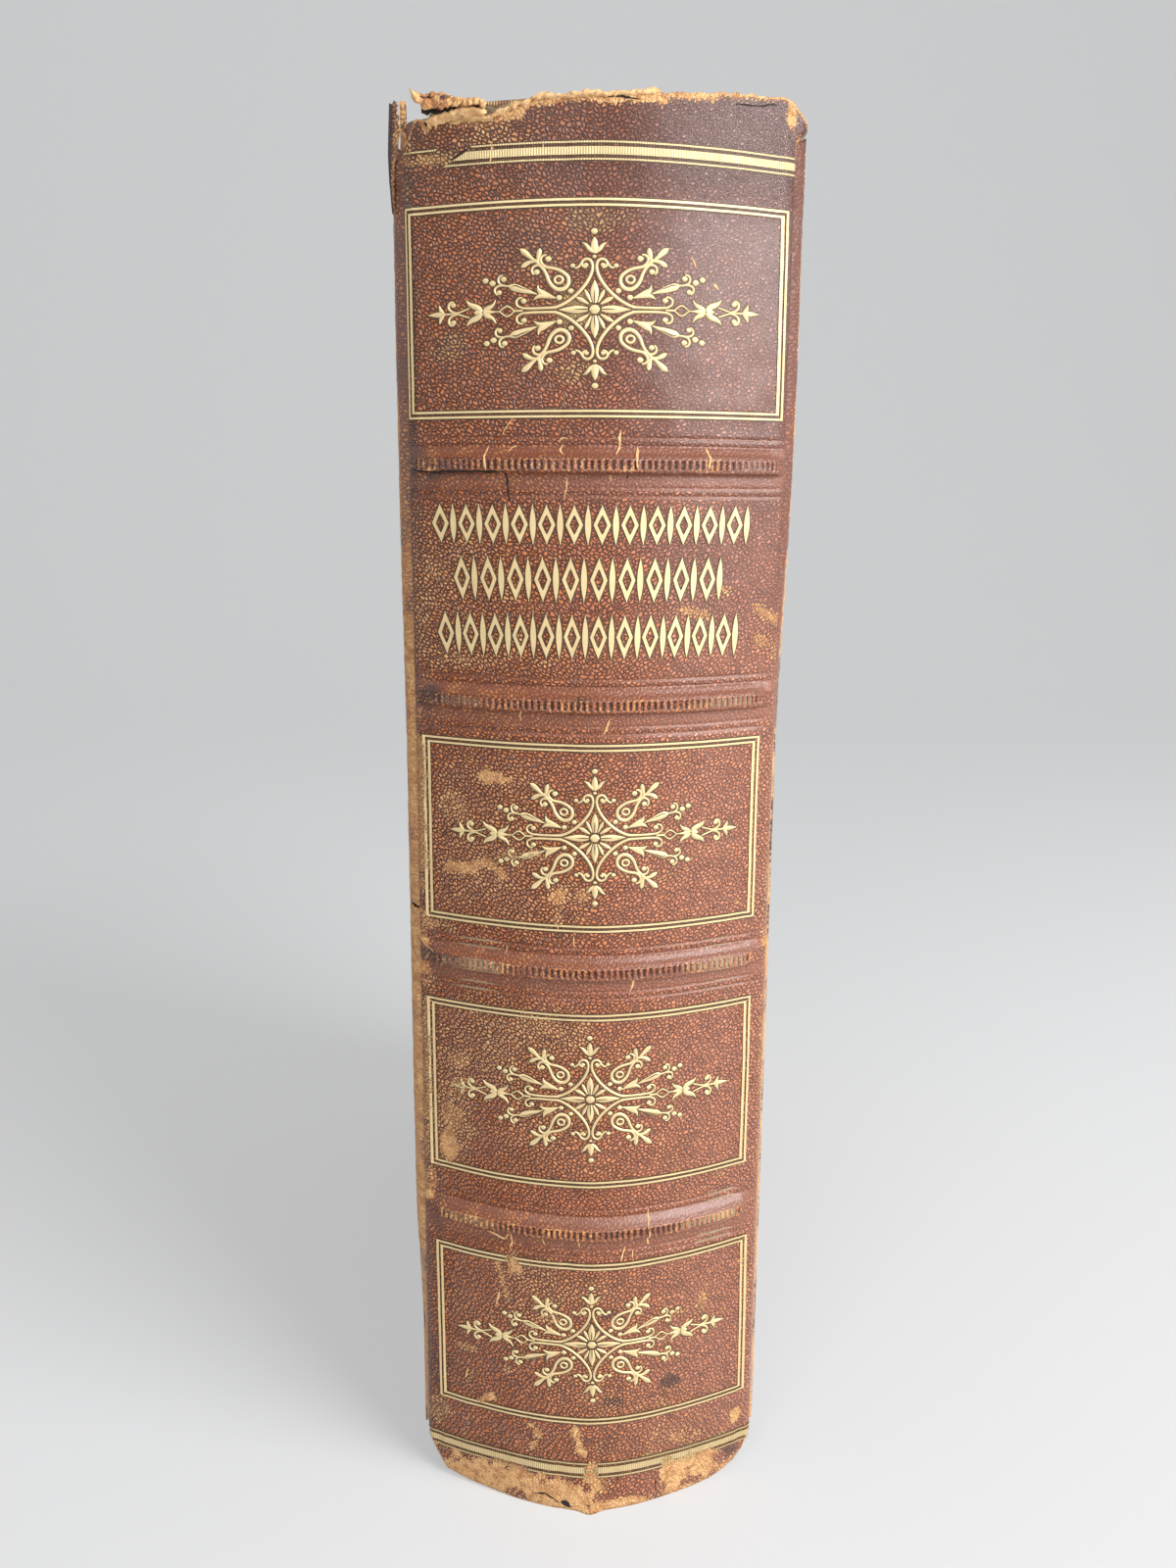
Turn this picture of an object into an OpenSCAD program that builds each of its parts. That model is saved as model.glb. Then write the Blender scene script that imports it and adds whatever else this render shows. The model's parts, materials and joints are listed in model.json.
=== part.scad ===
// Antique full-leather book with a rounded, five-panel gilt spine, standing upright and closed.
// X is the thickness with the front cover at +X, Y is the depth with the spine at -Y, Z is the height.
// The origin is the middle of the foot. All sizes are in millimetres.

/* [Book] */
// Height of the boards from tail to head
book_h = 236; // [200:1:300]
// Depth from the crest of the raised bands to the fore edge of the boards
book_d = 162; // [130:1:200]
// Thickness over both closed covers
book_w = 61.2; // [56:0.2:70]

/* [Covers] */
// Thickness of the leather on the covers and the spine
leather_t = 0.9; // [0.6:0.05:1.4]
// Thickness of each board
board_t = 2.6; // [1.8:0.1:4]
// Thickness of the leather where it is pared and turned in over the board
turn_in_t = 0.3; // [0.2:0.05:0.6]
// Width of the leather turned in over the board
turn_in_w = 14; // [8:0.5:20]
// Thickness of the pastedown and of the free endpaper
paper_t = 0.2; // [0.1:0.05:0.4]
// Bare margin between the pastedown and the edge of the cover
paste_margin = 4; // [2:0.5:7]
// Radius of the rubbed corners at the fore edge
fore_corner_r = 2.5; // [1.5:0.25:5]
// Rounding of the leather along the edges of the covers
cover_edge_r = 1.2; // [0.4:0.1:1.4]
// Length of the slanting cut at each spine corner of the boards, along head and tail
back_corner_d = 12; // [6:0.5:16]
// Height of that slanting cut
back_corner_h = 8; // [4:0.5:12]

/* [Joints] */
// How far the spine's leather lies inside the outer face of the covers
joint_step = 0.8; // [0.6:0.05:1.2]
// Open split between the spine's leather and the joint line
joint_gap = 0.45; // [0.4:0.05:0.8]
// How far the joint line lies inside the outer face of the covers
joint_in = 0.25; // [0.1:0.05:0.4]
// Room between the joint line and the edge of the cover
joint_clear = 0.3; // [0.3:0.05:0.6]

/* [Text block] */
// How far the boards overhang the pages at head, tail and fore edge
board_overhang = 3; // [2:0.25:5]
// Room between the pages and each pastedown
page_gap = 0.3; // [0.2:0.05:0.8]
// Depth of the hollow in the pages' fore edge
fore_hollow = 7; // [3:0.5:12]
// Thickness of the mull glued over the back of the pages
mull_t = 0.4; // [0.2:0.05:0.8]
// How far the mull stops short of head and tail
mull_margin = 9; // [4:1:20]
// Radius of the recessed sewing cords
cord_r = 0.9; // [0.5:0.1:1.2]
// Distance from the ends of the pages to the outermost sewing cords
cord_margin = 21; // [12:1:30]
// Radius of the wound endbands
endband_r = 0.6; // [0.5:0.1:1.2]
// Distance of the endbands' ends from the sides of the pages
endband_inset = 3; // [0:0.1:4]
// Distance of the sewing cords' ends from the sides of the pages
cord_inset = 1.5; // [1:0.25:4]

/* [Spine] */
// Radius of the rounded spine over its leather
spine_r = 50; // [44:0.5:70]
// Rounding where the spine turns to its sides
shoulder_r = 3; // [2:0.25:4]
// Straight leather behind that rounding
spine_lip = 0.3; // [0.1:0.05:1]
// Thickness of the card that stiffens the spine
liner_t = 0.8; // [0.5:0.05:1.2]
// Air between that card and the mull in the hollow back
hollow_t = 0.5; // [0.3:0.05:1]
// Height of the leather folded over the ends of the card
cap_h = 2.2; // [1:0.1:3]
// How far the middle of the head is rubbed down
crown_wear = 1.2; // [0.4:0.1:2]
// Radius of that rubbed hollow
crown_r = 260; // [200:10:400]
// Width of the rubbed spine corner at the head
head_corner_w = 5; // [2:0.25:6]
// Height of the rubbed spine corner at the head
head_corner_h = 3; // [2:0.25:6]
// Width of the rubbed spine corners at the tail
tail_corner_w = 3.2; // [2:0.2:6]
// Height of the rubbed spine corners at the tail
tail_corner_h = 8; // [4:0.5:12]

/* [Raised bands] */
// Place of the uppermost band's lower edge, as a share of the book's height
band_1_place = 0.7657; // [0.75:0.0001:0.78]
// Place of the second band's lower edge, as such a share
band_2_place = 0.6089; // [0.59:0.0001:0.63]
// Place of the third band's lower edge, as such a share
band_3_place = 0.4212; // [0.4:0.0001:0.44]
// Place of the lowest band's lower edge, as such a share
band_4_place = 0.2225; // [0.2:0.0001:0.24]
// How far the bands stand out of the spine
band_h = 1.4; // [1:0.1:1.8]
// Height of the ribbed face
band_face_h = 2.1; // [1.6:0.1:3]
// Height of the slope above the ribbed face
band_slope_h = 1.6; // [1:0.1:2.4]
// Height of the steep underside
band_under_h = 0.45; // [0.3:0.05:0.8]
// Height of the smooth strip tooled under each band
strip_h = 1.9; // [1:0.1:2.4]
// Height of the grained strip between a pair of blind lines
grain_strip_h = 1.2; // [0.8:0.1:2]
// Width of each blind line
blind_w = 0.35; // [0.2:0.05:0.5]
// Depth of each blind line
blind_depth = 0.2; // [0.1:0.05:0.3]
// Distance between the ribs of a band
rib_pitch = 1; // [0.8:0.05:1.6]
// Width of the groove between two ribs
rib_gap = 0.4; // [0.3:0.05:0.6]
// Depth of that groove
rib_depth = 0.25; // [0.15:0.05:0.4]
// Plain leather above and below the ribs
rib_margin = 0.15; // [0.1:0.05:0.4]
// Distance from the spine's shoulders to the ends of the ribs and of the card strips
core_margin = 1; // [0.5:0.25:3]
// Extra rounding where a band sinks into the leather at the shoulders
band_sink_r = 2.2; // [1:0.1:4]

/* [Gilding] */
// Thickness of the gold, with its glaze
gold_t = 0.1; // [0.06:0.02:0.2]
// Height of the double frame on each panel
frame_h = 31.2; // [24:0.2:33]
// Width of the double frame on each panel
frame_w = 56; // [44:0.5:57]
// Width of each gold line of a frame
frame_line = 0.42; // [0.3:0.02:0.6]
// Dark leather between the two lines of a frame
frame_gap = 0.36; // [0.2:0.02:0.6]
// How far each panel's centre is lifted above the middle between its neighbours
panel_lift = 1.45; // [0:0.05:2]
// Distance from the head down to the gold roll there
head_roll_in = 8.3; // [6.5:0.1:9.5]
// Distance from the tail up to the gold roll there
tail_roll_in = 5.9; // [5:0.1:8]
// Height of a gold roll over its two fine lines
roll_h = 2.7; // [2:0.1:3]
// Width of a gold roll's fine lines
roll_line = 0.34; // [0.2:0.02:0.5]
// Height of the broad line in the middle of a gold roll
roll_band_h = 1.2; // [0.6:0.1:1.4]
// Width of leather by the tear on which the head roll has lost all but its upper line
roll_loss_w = 7.2; // [4:0.1:10]
// Width of the gold stamp on each panel
stamp_w = 46.2; // [40:0.2:50]
// Height of the lower two of the three gold rows on the title panel
title_row_h = 7; // [4:0.1:7.4]
// Distance from one gold row to the next
title_pitch = 8.85; // [7:0.05:9]
// Height of the lowest gold row above the second band
title_lift = 8.3; // [7:0.1:8.5]
// Distance between the motifs of a gold row
motif_pitch = 4; // [3:0.1:6]

/* [Hidden] */
$fn = 128;

// Reach of a cutting shape beyond what it cuts
past = 5;
// Room left round the sewing cords, and between the gold and the leather
fit_gap = 0.02;

// The spine's plan
spine_half = book_w / 2 - joint_step;
apex_y = -book_d / 2 + band_h;
arc_y = apex_y + spine_r;
fillet_x = spine_half - shoulder_r;
fillet_y = arc_y - sqrt(pow(spine_r - shoulder_r, 2) - pow(fillet_x, 2));
spine_back_y = fillet_y + spine_lip;

// The joints and the covers
joint_y = spine_back_y + joint_gap;
cover_y = joint_y + joint_clear;
fore_y = book_d / 2;
cover_t = leather_t + board_t + turn_in_t + paper_t;
board_face_x = book_w / 2 - leather_t - board_t;

// The text block
page_half = book_w / 2 - cover_t - page_gap - paper_t;
page_z = board_overhang;
page_h = book_h - 2 * board_overhang;
page_fore_y = fore_y - board_overhang;
liner_in = leather_t + liner_t;
mull_in = liner_in + hollow_t;
block_in = mull_in + mull_t;
shoulder_y = spine_back_y;
hollow_r = (pow(page_half, 2) + pow(fore_hollow, 2)) / (2 * fore_hollow);
cord_z = [for (k = [0:4]) page_z + cord_margin + k * (page_h - 2 * cord_margin) / 4];
cord_path_r = spine_r - block_in - cord_r / 2;
endband_path_r = spine_r - liner_in - page_gap - endband_r;

// The bands, the panels between them and the gold
band_z = book_h * [band_1_place, band_2_place, band_3_place, band_4_place];
core_h = band_h - leather_t;
core_half = fillet_x - core_margin;
rib_angle = rib_pitch / (spine_r + band_h) * 180 / PI;
rib_half_angle = asin(core_half / spine_r);
rib_count = floor(2 * rib_half_angle / rib_angle);
// Where the slope above a band bends, as shares of its depth and of its height
slope_knee = [0.4, 0.45];
// Where the rubbed edge of a spine corner bends, as shares of its width and of its height
corner_belly = [0.3, 0.4];
head_roll_z = book_h - head_roll_in - roll_h;
tail_roll_z = tail_roll_in;
panel_floor = [band_z[0], band_z[2], band_z[3], tail_roll_z + roll_h];
panel_roof = [head_roll_z, band_z[1], band_z[2], band_z[3]];
panel_z = [for (k = [0:3]) (panel_floor[k] + panel_roof[k]) / 2 + panel_lift];
// Where each frame and each stamp was struck by hand: sideways, up, and turned in degrees
frame_strike = [[-0.4, 0, 0.25], [-0.6, -0.1, 0.1], [-0.6, 0.1, 0.3], [0.3, 0, 0.5]];
stamp_strike = [[-0.8, 0, 0.6], [-0.2, 0.2, 0.5], [-0.6, 0.6, 1], [0, 0, 1.2]];
// Width at which the stamp is drawn
stamp_drawn_w = 46.2;
// The three title rows from the lowest up: bare leather at each end, and shift to the side
title_margin = [5.8, 8.8, 5.4];
title_shift = [-0.9, -1, -0.5];
title_share = [1, 1, 0.87];

// Edge of the torn leather at the head: distance from the spine's left side, and distance below the head
tear_edge = [[-1.2, 7.6], [0.2, 6.8], [1, 5.6], [1.6, 3.2], [2.2, 3.4], [2.9, 5.2],
             [3.9, 5], [4.6, 3.4], [7.4, 2.7], [10.3, 2.5], [12.2, 2.7], [14.3, 3.1],
             [17.8, 2.4], [21.8, 1.4], [26.8, 0.8]];
// The curled flap above the tear, in the same terms
flap_edge = [[2.8, 0], [5.8, 0.1], [9.8, 0.9], [12.4, 1.8], [15.2, 3.2], [13.6, 3.4],
             [11.8, 2.6], [9.8, 2.1], [7.3, 2], [5.3, 1.7], [3.2, 1.4]];
// Angle at which the tear runs through the head roll, in degrees
roll_tear_angle = 28;
// The sliver of leather left standing on the back cover's joint: depth, and distance below the head
sliver_edge = [[0, 0], [1.6, 0.3], [2.2, 4], [2.6, back_corner_h + 2], [0, back_corner_h + 2]];

leather_colour = [0.33, 0.15, 0.11];
worn_colour = [0.62, 0.4, 0.22];
gold_colour = [0.86, 0.76, 0.46];
paper_colour = [0.86, 0.78, 0.62];
board_colour = [0.55, 0.5, 0.42];
cloth_colour = [0.8, 0.76, 0.66];

// Its children, and their mirror image across the given axis
module both(axis) {
    children();
    mirror(axis) children();
}

// A flat shape drawn sideways and up, pushed forward through the whole spine
module through_spine() {
    translate([0, spine_back_y + past, 0])
        rotate([90, 0, 0])
            linear_extrude(spine_back_y - apex_y + 2 * past) children();
}

// A flat shape drawn in depth and height, given the thickness from x0 to x1
module across(x0, x1) {
    translate([x0, 0, 0])
        rotate([90, 0, 90])
            linear_extrude(x1 - x0) children();
}

// An arched plan that reaches out to a radius, cut to a half width and rounded by r at both shoulders
module arched_plan(reach, half, r) {
    x = half - r;
    y = arc_y - sqrt(pow(reach - r, 2) - pow(x, 2));
    lean = [x, y - arc_y] / (reach - r);
    far = r + past;
    difference() {
        intersection() {
            translate([0, arc_y]) circle(reach);
            translate([-half, arc_y - reach]) square([2 * half, spine_r]);
        }
        if (r > 0) both([1, 0]) translate([x, y]) difference() {
            polygon([[0, 0], [far, 0], [far, -far], lean * far]);
            circle(r);
        }
    }
}

// Plan of the rounded spine, moved out from the leather's face by grow
module spine_plan(grow = 0) {
    arched_plan(spine_r + grow, spine_half + grow, shoulder_r + grow);
}

// Plan of a layer of the spine between two depths, ending at the shoulders
module spine_layer(outer, inner) {
    intersection() {
        difference() {
            spine_plan(outer);
            spine_plan(inner);
        }
        translate([-book_w, apex_y - past]) square([2 * book_w, spine_back_y - apex_y + past]);
    }
}

// A ring round the spine's centre from a section drawn as radius and height
module spine_ring() {
    translate([0, arc_y, 0]) rotate_extrude() children();
}

// The part of a ring in front of the shoulders, within half of the middle
module front_of(half, z0, z1) {
    intersection() {
        children();
        translate([-half, apex_y - past, z0]) cube([2 * half, spine_back_y - apex_y + past, z1 - z0]);
    }
}

// Section of one band's leather over its lower edge, as radius and height
module band_section() {
    polygon([[spine_r - leather_t / 2, -band_under_h], [spine_r, -band_under_h], [spine_r + band_h, 0],
             [spine_r + band_h, band_face_h],
             [spine_r + band_h * slope_knee[0], band_face_h + band_slope_h * slope_knee[1]],
             [spine_r, band_face_h + band_slope_h], [spine_r - leather_t / 2, band_face_h + band_slope_h]]);
}

// The raised leather of the band whose ribbed face starts at z
module band_leather(z) {
    intersection() {
        translate([0, 0, z]) spine_ring() band_section();
        translate([0, 0, z - past]) linear_extrude(band_face_h + 2 * past)
            arched_plan(spine_r + band_h + fit_gap, spine_half, shoulder_r + band_sink_r);
    }
}

// The card strip inside a band
module core_body(z, outer) {
    front_of(core_half, z, z + band_face_h)
        translate([0, 0, z]) spine_ring()
            translate([spine_r - outer, 0]) square([outer + core_h, band_face_h]);
}

// The grooves between the ribs of one band
module rib_grooves(z) {
    translate([0, 0, z + rib_margin]) linear_extrude(band_face_h - 2 * rib_margin)
        translate([0, arc_y])
            for (i = [0:rib_count])
                rotate(-rib_half_angle + i * rib_angle)
                    translate([-rib_gap / 2, -spine_r - band_h - past])
                        square([rib_gap, rib_depth + past]);
}

// The four blind lines that go with one band
module blind_lines(z) {
    top = z + band_face_h + band_slope_h;
    foot = z - band_under_h - strip_h;
    for (line_z = [top, top + grain_strip_h, foot - blind_w, foot - blind_w - grain_strip_h])
        translate([0, 0, line_z]) spine_ring()
            translate([spine_r - blind_depth, 0]) square([past, blind_w]);
}

// A point given from the spine's left side and down from the head, as sideways and up
function at_head(p) = [p[0] - spine_half, book_h - p[1]];

// What is rubbed off the right corner of the spine's foot, over w and up to h
module corner_waste(w, h) {
    polygon([[spine_half - w, 0], [spine_half - w * corner_belly[0], h * corner_belly[1]], [spine_half, h],
             [spine_half + past, h], [spine_half + past, -past], [spine_half - w, -past]]);
}

// What wear has taken off the spine, drawn sideways and up
module spine_wear() {
    last = len(tear_edge) - 1;
    translate([0, book_h - crown_wear + crown_r]) circle(crown_r);
    polygon(concat([for (p = tear_edge) at_head(p)],
                   [for (p = [tear_edge[last], tear_edge[0]]) at_head([p[0], -past])]));
    translate([0, book_h]) mirror([0, 1]) corner_waste(head_corner_w, head_corner_h);
    both([1, 0]) corner_waste(tail_corner_w, tail_corner_h);
}

// The skin over the rounded spine, with its bands, blind lines, rubbed corners and torn head
module spine_leather() {
    color(leather_colour) {
        difference() {
            union() {
                linear_extrude(book_h) spine_layer(0, -leather_t);
                for (z = [0, book_h - cap_h])
                    translate([0, 0, z]) linear_extrude(cap_h) spine_layer(0, -liner_in);
                for (z = band_z) band_leather(z);
            }
            for (z = band_z) {
                core_body(z, leather_t + past);
                rib_grooves(z);
                blind_lines(z);
            }
            through_spine() spine_wear();
        }
        intersection() {
            linear_extrude(book_h) spine_layer(0, -leather_t);
            through_spine() polygon([for (p = flap_edge) at_head(p)]);
        }
    }
}

// The card glued inside the spine's leather
module spine_liner() {
    color(board_colour) difference() {
        translate([0, 0, cap_h]) linear_extrude(book_h - 2 * cap_h) intersection() {
            spine_layer(-leather_t, -liner_in);
            translate([-fillet_x, apex_y - past]) square([2 * fillet_x, book_d]);
        }
        through_spine() spine_wear();
    }
}

module band_core(z) {
    color(board_colour) core_body(z, leather_t);
}

// The pages as one solid, rounded and backed, with a hollow fore edge and kerfs for the cords
module text_block() {
    color(paper_colour) difference() {
        translate([0, 0, page_z]) linear_extrude(page_h) {
            difference() {
                translate([-page_half, shoulder_y]) square([2 * page_half, page_fore_y - shoulder_y]);
                translate([0, page_fore_y + hollow_r - fore_hollow]) circle(hollow_r);
            }
            intersection() {
                spine_plan(-block_in);
                translate([-book_w, apex_y]) square([2 * book_w, shoulder_y - apex_y]);
            }
        }
        for (z = cord_z) cord_ring(z, cord_r + fit_gap);
    }
}

// One recessed cord, or with a larger r its kerf
module cord_ring(z, r) {
    front_of(page_half - cord_inset, z - past, z + past)
        translate([0, 0, z]) spine_ring() translate([cord_path_r, 0]) circle(r);
}

module sewing_cords() {
    color(cloth_colour) for (z = cord_z) intersection() {
        cord_ring(z, cord_r);
        translate([0, 0, z - past]) linear_extrude(2 * past) spine_plan(-block_in - fit_gap);
    }
}

module spine_mull() {
    color(cloth_colour) translate([0, 0, page_z + mull_margin])
        linear_extrude(page_h - 2 * mull_margin) spine_layer(-mull_in, -block_in);
}

module endband(z) {
    color(worn_colour) front_of(page_half - endband_inset, z - past, z + past)
        translate([0, 0, z]) spine_ring() translate([endband_path_r, 0]) circle(endband_r);
}

module head_endband() endband(page_z + page_h + endband_r);
module tail_endband() endband(page_z - endband_r);

// The free leaf on the front side, which is mirrored for the back
module free_endpaper() {
    color(paper_colour) translate([page_half, shoulder_y + joint_clear, page_z])
        cube([paper_t, page_fore_y - shoulder_y - joint_clear, page_h]);
}

module front_free_endpaper() free_endpaper();
module back_free_endpaper() mirror([1, 0, 0]) free_endpaper();

// Outline of a cover in depth and height, drawn in by inset
module cover_outline(inset = 0) {
    slant = atan2(back_corner_h, back_corner_d);
    long = back_corner_d + back_corner_h + 2 * past;
    r = max(fore_corner_r - inset, 0.3);
    low = [fore_y - inset - r, inset + r];
    difference() {
        translate([cover_y + inset, inset]) square([fore_y - cover_y - 2 * inset, book_h - 2 * inset]);
        translate([0, book_h / 2]) both([0, 1]) translate([0, -book_h / 2]) {
            translate([cover_y, back_corner_h]) rotate(-slant)
                translate([-past, inset - long]) square([long, long]);
            translate(low) difference() {
                translate([0, -r - past]) square([r + past, r + past]);
                circle(r);
            }
        }
    }
}

// A rounded outer edge along a cover, as a strip of waste with its corner at the origin
module edge_waste(r) {
    difference() {
        translate([-r, -r]) square([r + past, r + past]);
        translate([-r, -r]) circle(r);
    }
}

// The leather of one cover, wrapped round the board and turned in
module cover_leather() {
    inner_x = board_face_x - turn_in_t;
    difference() {
        across(inner_x, book_w / 2) cover_outline();
        across(board_face_x, board_face_x + board_t) cover_outline(leather_t);
        across(inner_x - past, board_face_x + fit_gap)
            translate([cover_y + leather_t, turn_in_w])
                square([fore_y - turn_in_w - cover_y - leather_t, book_h - 2 * turn_in_w]);
        translate([0, 0, -past]) linear_extrude(book_h + 2 * past) {
            translate([book_w / 2, fore_y]) edge_waste(cover_edge_r);
            translate([book_w / 2, cover_y]) mirror([0, 1]) edge_waste(cover_edge_r);
        }
        translate([0, 0, book_h / 2]) both([0, 0, 1]) translate([book_w / 2, 0, book_h / 2])
            rotate([90, 0, 0]) translate([0, 0, -book_d]) linear_extrude(2 * book_d)
                edge_waste(cover_edge_r);
    }
}

module cover_board() {
    across(board_face_x, board_face_x + board_t) cover_outline(leather_t);
}

// The pastedown with the paper that fills the window between the turn-ins
module pastedown() {
    paste_x = board_face_x - turn_in_t - paper_t;
    window_d = fore_y - turn_in_w - cover_y - leather_t;
    across(paste_x, paste_x + paper_t) cover_outline(paste_margin);
    across(paste_x, board_face_x)
        translate([cover_y + leather_t, turn_in_w]) square([window_d, book_h - 2 * turn_in_w]);
}

module front_board() color(board_colour) cover_board();
module back_board() color(board_colour) mirror([1, 0, 0]) cover_board();
module front_pastedown() color(paper_colour) pastedown();
module back_pastedown() color(paper_colour) mirror([1, 0, 0]) pastedown();
module front_cover_leather() color(leather_colour) cover_leather();

// The back cover also keeps a sliver of torn leather, standing on its joint at the head
module back_cover_leather() {
    color(leather_colour) mirror([1, 0, 0]) {
        cover_leather();
        across(book_w / 2 - leather_t, book_w / 2) polygon([for (p = sliver_edge)
            [cover_y + max(p[0], cover_edge_r / 2), book_h - p[1]]]);
    }
}

// Gold laid on the leather wherever the flat shape, drawn sideways and up, covers it
module gilded() {
    color(gold_colour) intersection() {
        linear_extrude(book_h) spine_layer(fit_gap + gold_t, fit_gap);
        through_spine() children();
    }
}

// A gold roll: a broad line between two fine ones
module roll(z) {
    broad_z = (roll_h - roll_band_h) / 2;
    for (line = [[0, roll_line], [broad_z, roll_band_h], [roll_h - roll_line, roll_line]])
        translate([-spine_half, z + line[0]]) square([2 * spine_half, line[1]]);
}

// The head roll has lost its lower lines beside the tear, and the tear slants through it
module head_roll() {
    loss_x = roll_loss_w - spine_half;
    gilded() difference() {
        roll(head_roll_z);
        translate([-book_w / 2, head_roll_z - past])
            square([book_w / 2 + loss_x, roll_h - 2 * roll_line + past]);
        translate([loss_x, head_roll_z]) rotate(roll_tear_angle)
            translate([-past, 0]) square([2 * past, past / 2]);
    }
}

module tail_roll() gilded() roll(tail_roll_z);

// A rectangle of gold line, drawn in by inset from the frame's size
module frame_ring(inset) {
    w = frame_w - 2 * inset;
    h = frame_h - 2 * inset;
    difference() {
        square([w, h], center = true);
        square([w - 2 * frame_line, h - 2 * frame_line], center = true);
    }
}

module panel_frame(k) {
    z = panel_z[k];
    strike = frame_strike[k];
    gilded()
        translate([strike[0], z + strike[1]]) rotate(strike[2]) {
            frame_ring(0);
            frame_ring(frame_line + frame_gap);
        }
}

// A pointed leaf of length len and width w, growing along +X from the origin
module leaf(len, w) {
    r = (len * len + w * w) / (4 * w);
    intersection() {
        translate([len / 2, w / 2 - r]) circle(r);
        translate([len / 2, r - w / 2]) circle(r);
    }
}

// Points of a wedge from angle a0 to a1 that reaches out to r
function wedge(r, a0, a1) = concat([[0, 0]],
    [for (i = [0:6]) let (a = a0 + (a1 - a0) * i / 6) [r * cos(a), r * sin(a)]]);

// A curved stroke of width w on a circle of radius r, with a dot at its end
module curl(r, w, a0, a1, dot = 0) {
    intersection() {
        difference() {
            circle(r + w / 2);
            circle(r - w / 2);
        }
        polygon(wedge(2 * (r + w), a0, a1));
    }
    if (dot > 0) translate([r * cos(a1), r * sin(a1)]) circle(dot);
}

// A drop with a round end of radius r and its point at distance len
module drop(r, len) {
    circle(r);
    t = acos(r / len);
    polygon([[r * cos(t), r * sin(t)], [len, 0], [r * cos(t), -r * sin(t)]]);
}

// The star in the middle of a stamp: a disc, twelve leaves and a lozenge with hollow sides
module stamp_star() {
    circle(0.8);
    both([1, 0]) translate([1, 0]) leaf(3.7, 1.5);
    both([0, 1]) translate([0, 1]) rotate(90) leaf(2.8, 1.2);
    both([1, 0]) both([0, 1]) {
        rotate(31) translate([1, 0]) leaf(2, 0.6);
        rotate(62) translate([1, 0]) leaf(1.9, 0.55);
        translate([12.7, 13.1]) curl(14.4, 0.42, 209.5, 244.5);
        translate([3.35, 3]) circle(0.42);
    }
}

// The long stem to each side, with scrolls, a lozenge, a tulip and a lily
module stamp_stem() {
    translate([5.8, -0.2]) square([5.8, 0.4]);
    both([0, 1]) translate([10.9, 1.1]) curl(0.85, 0.3, -100, 130, 0.36);
    translate([12.75, 0]) difference() {
        polygon([[-1.35, 0], [0, 0.8], [1.35, 0], [0, -0.8]]);
        polygon([[-0.8, 0], [0, 0.42], [0.8, 0], [0, -0.42]]);
    }
    both([0, 1]) translate([13.9, 0]) rotate(35) leaf(1.4, 0.6);
    both([0, 1]) translate([15, 0]) rotate(27) leaf(3.4, 1);
    translate([14.6, 0]) leaf(4.2, 1.2);
    translate([18.4, -0.15]) square([3, 0.3]);
    both([0, 1]) translate([20, 0.9]) curl(0.6, 0.28, -90, 140, 0.38);
    translate([21, 0]) leaf(2.2, 0.9);
    both([0, 1]) translate([21, 0]) rotate(40) leaf(1.9, 0.7);
}

// The finial above and below: two scrolls and a tulip with a dot
module stamp_finial() {
    translate([0, 6.2]) circle(0.4);
    both([1, 0]) {
        translate([1.2, 6.5]) curl(0.85, 0.32, 180, 0);
        translate([2.7, 6.5]) curl(0.65, 0.3, 180, 340, 0.38);
        translate([0, 8]) rotate(52) leaf(2.6, 0.85);
    }
    translate([0, 7.7]) circle(0.35);
    translate([0, 8]) rotate(90) leaf(2.8, 1);
    translate([0, 11.2]) circle(0.5);
}

// The drop in each quarter, with its eye, scrolls and three-lobed leaf
module stamp_drop() {
    translate([5.1, 4.4]) rotate(34) difference() {
        drop(1.5, 4.4);
        drop(1.08, 3.2);
    }
    translate([5.1, 4.4]) difference() {
        circle(0.62);
        circle(0.25);
    }
    translate([7.1, 7.3]) curl(0.65, 0.3, -60, 200, 0.36);
    translate([8.7, 5.75]) curl(0.6, 0.3, 120, -140, 0.34);
    translate([8.4, 6.7]) rotate(43) leaf(3.2, 1);
    translate([8.5, 7]) rotate(92) leaf(2.2, 0.8);
    translate([8.8, 6.9]) leaf(2.1, 0.7);
}

// The low spray in each quarter, with an arrow, a bud, scrolls and two dots
module stamp_spray() {
    translate([5.9, 1.35]) circle(0.38);
    translate([6.2, 1.45]) rotate(17) {
        leaf(3.2, 0.8);
        translate([1.2, 0]) both([0, 1]) rotate(150) leaf(1.1, 0.4);
        translate([3, 0]) leaf(3.7, 1);
    }
    translate([12.4, 3.2]) rotate(14) square([2, 0.26]);
    translate([13.3, 4.05]) curl(0.55, 0.28, -70, 180, 0.32);
    translate([13.6, 2.75]) curl(0.5, 0.28, 100, -120, 0.3);
    translate([14.7, 3.75]) circle(0.48);
    translate([15.9, 3.95]) circle(0.52);
}

module stamp() {
    stamp_star();
    both([1, 0]) stamp_stem();
    both([0, 1]) stamp_finial();
    both([1, 0]) both([0, 1]) {
        stamp_drop();
        stamp_spray();
    }
}

module panel_ornament(k) {
    z = panel_z[k];
    strike = stamp_strike[k];
    gilded()
        translate([strike[0], z + strike[1]]) rotate(strike[2]) scale(stamp_w / stamp_drawn_w) stamp();
}

// One plain motif of a title row: a lozenge in outline of height h with a leaf beside it
module title_motif(h) {
    w = motif_pitch;
    difference() {
        polygon([[-w / 3, 0], [0, h / 2], [w / 3, 0], [0, -h / 2]]);
        polygon([[-w / 6, 0], [0, h / 4], [w / 6, 0], [0, -h / 4]]);
    }
    translate([w / 2, -h / 2]) rotate(90) leaf(h, w / 4);
}

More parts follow.
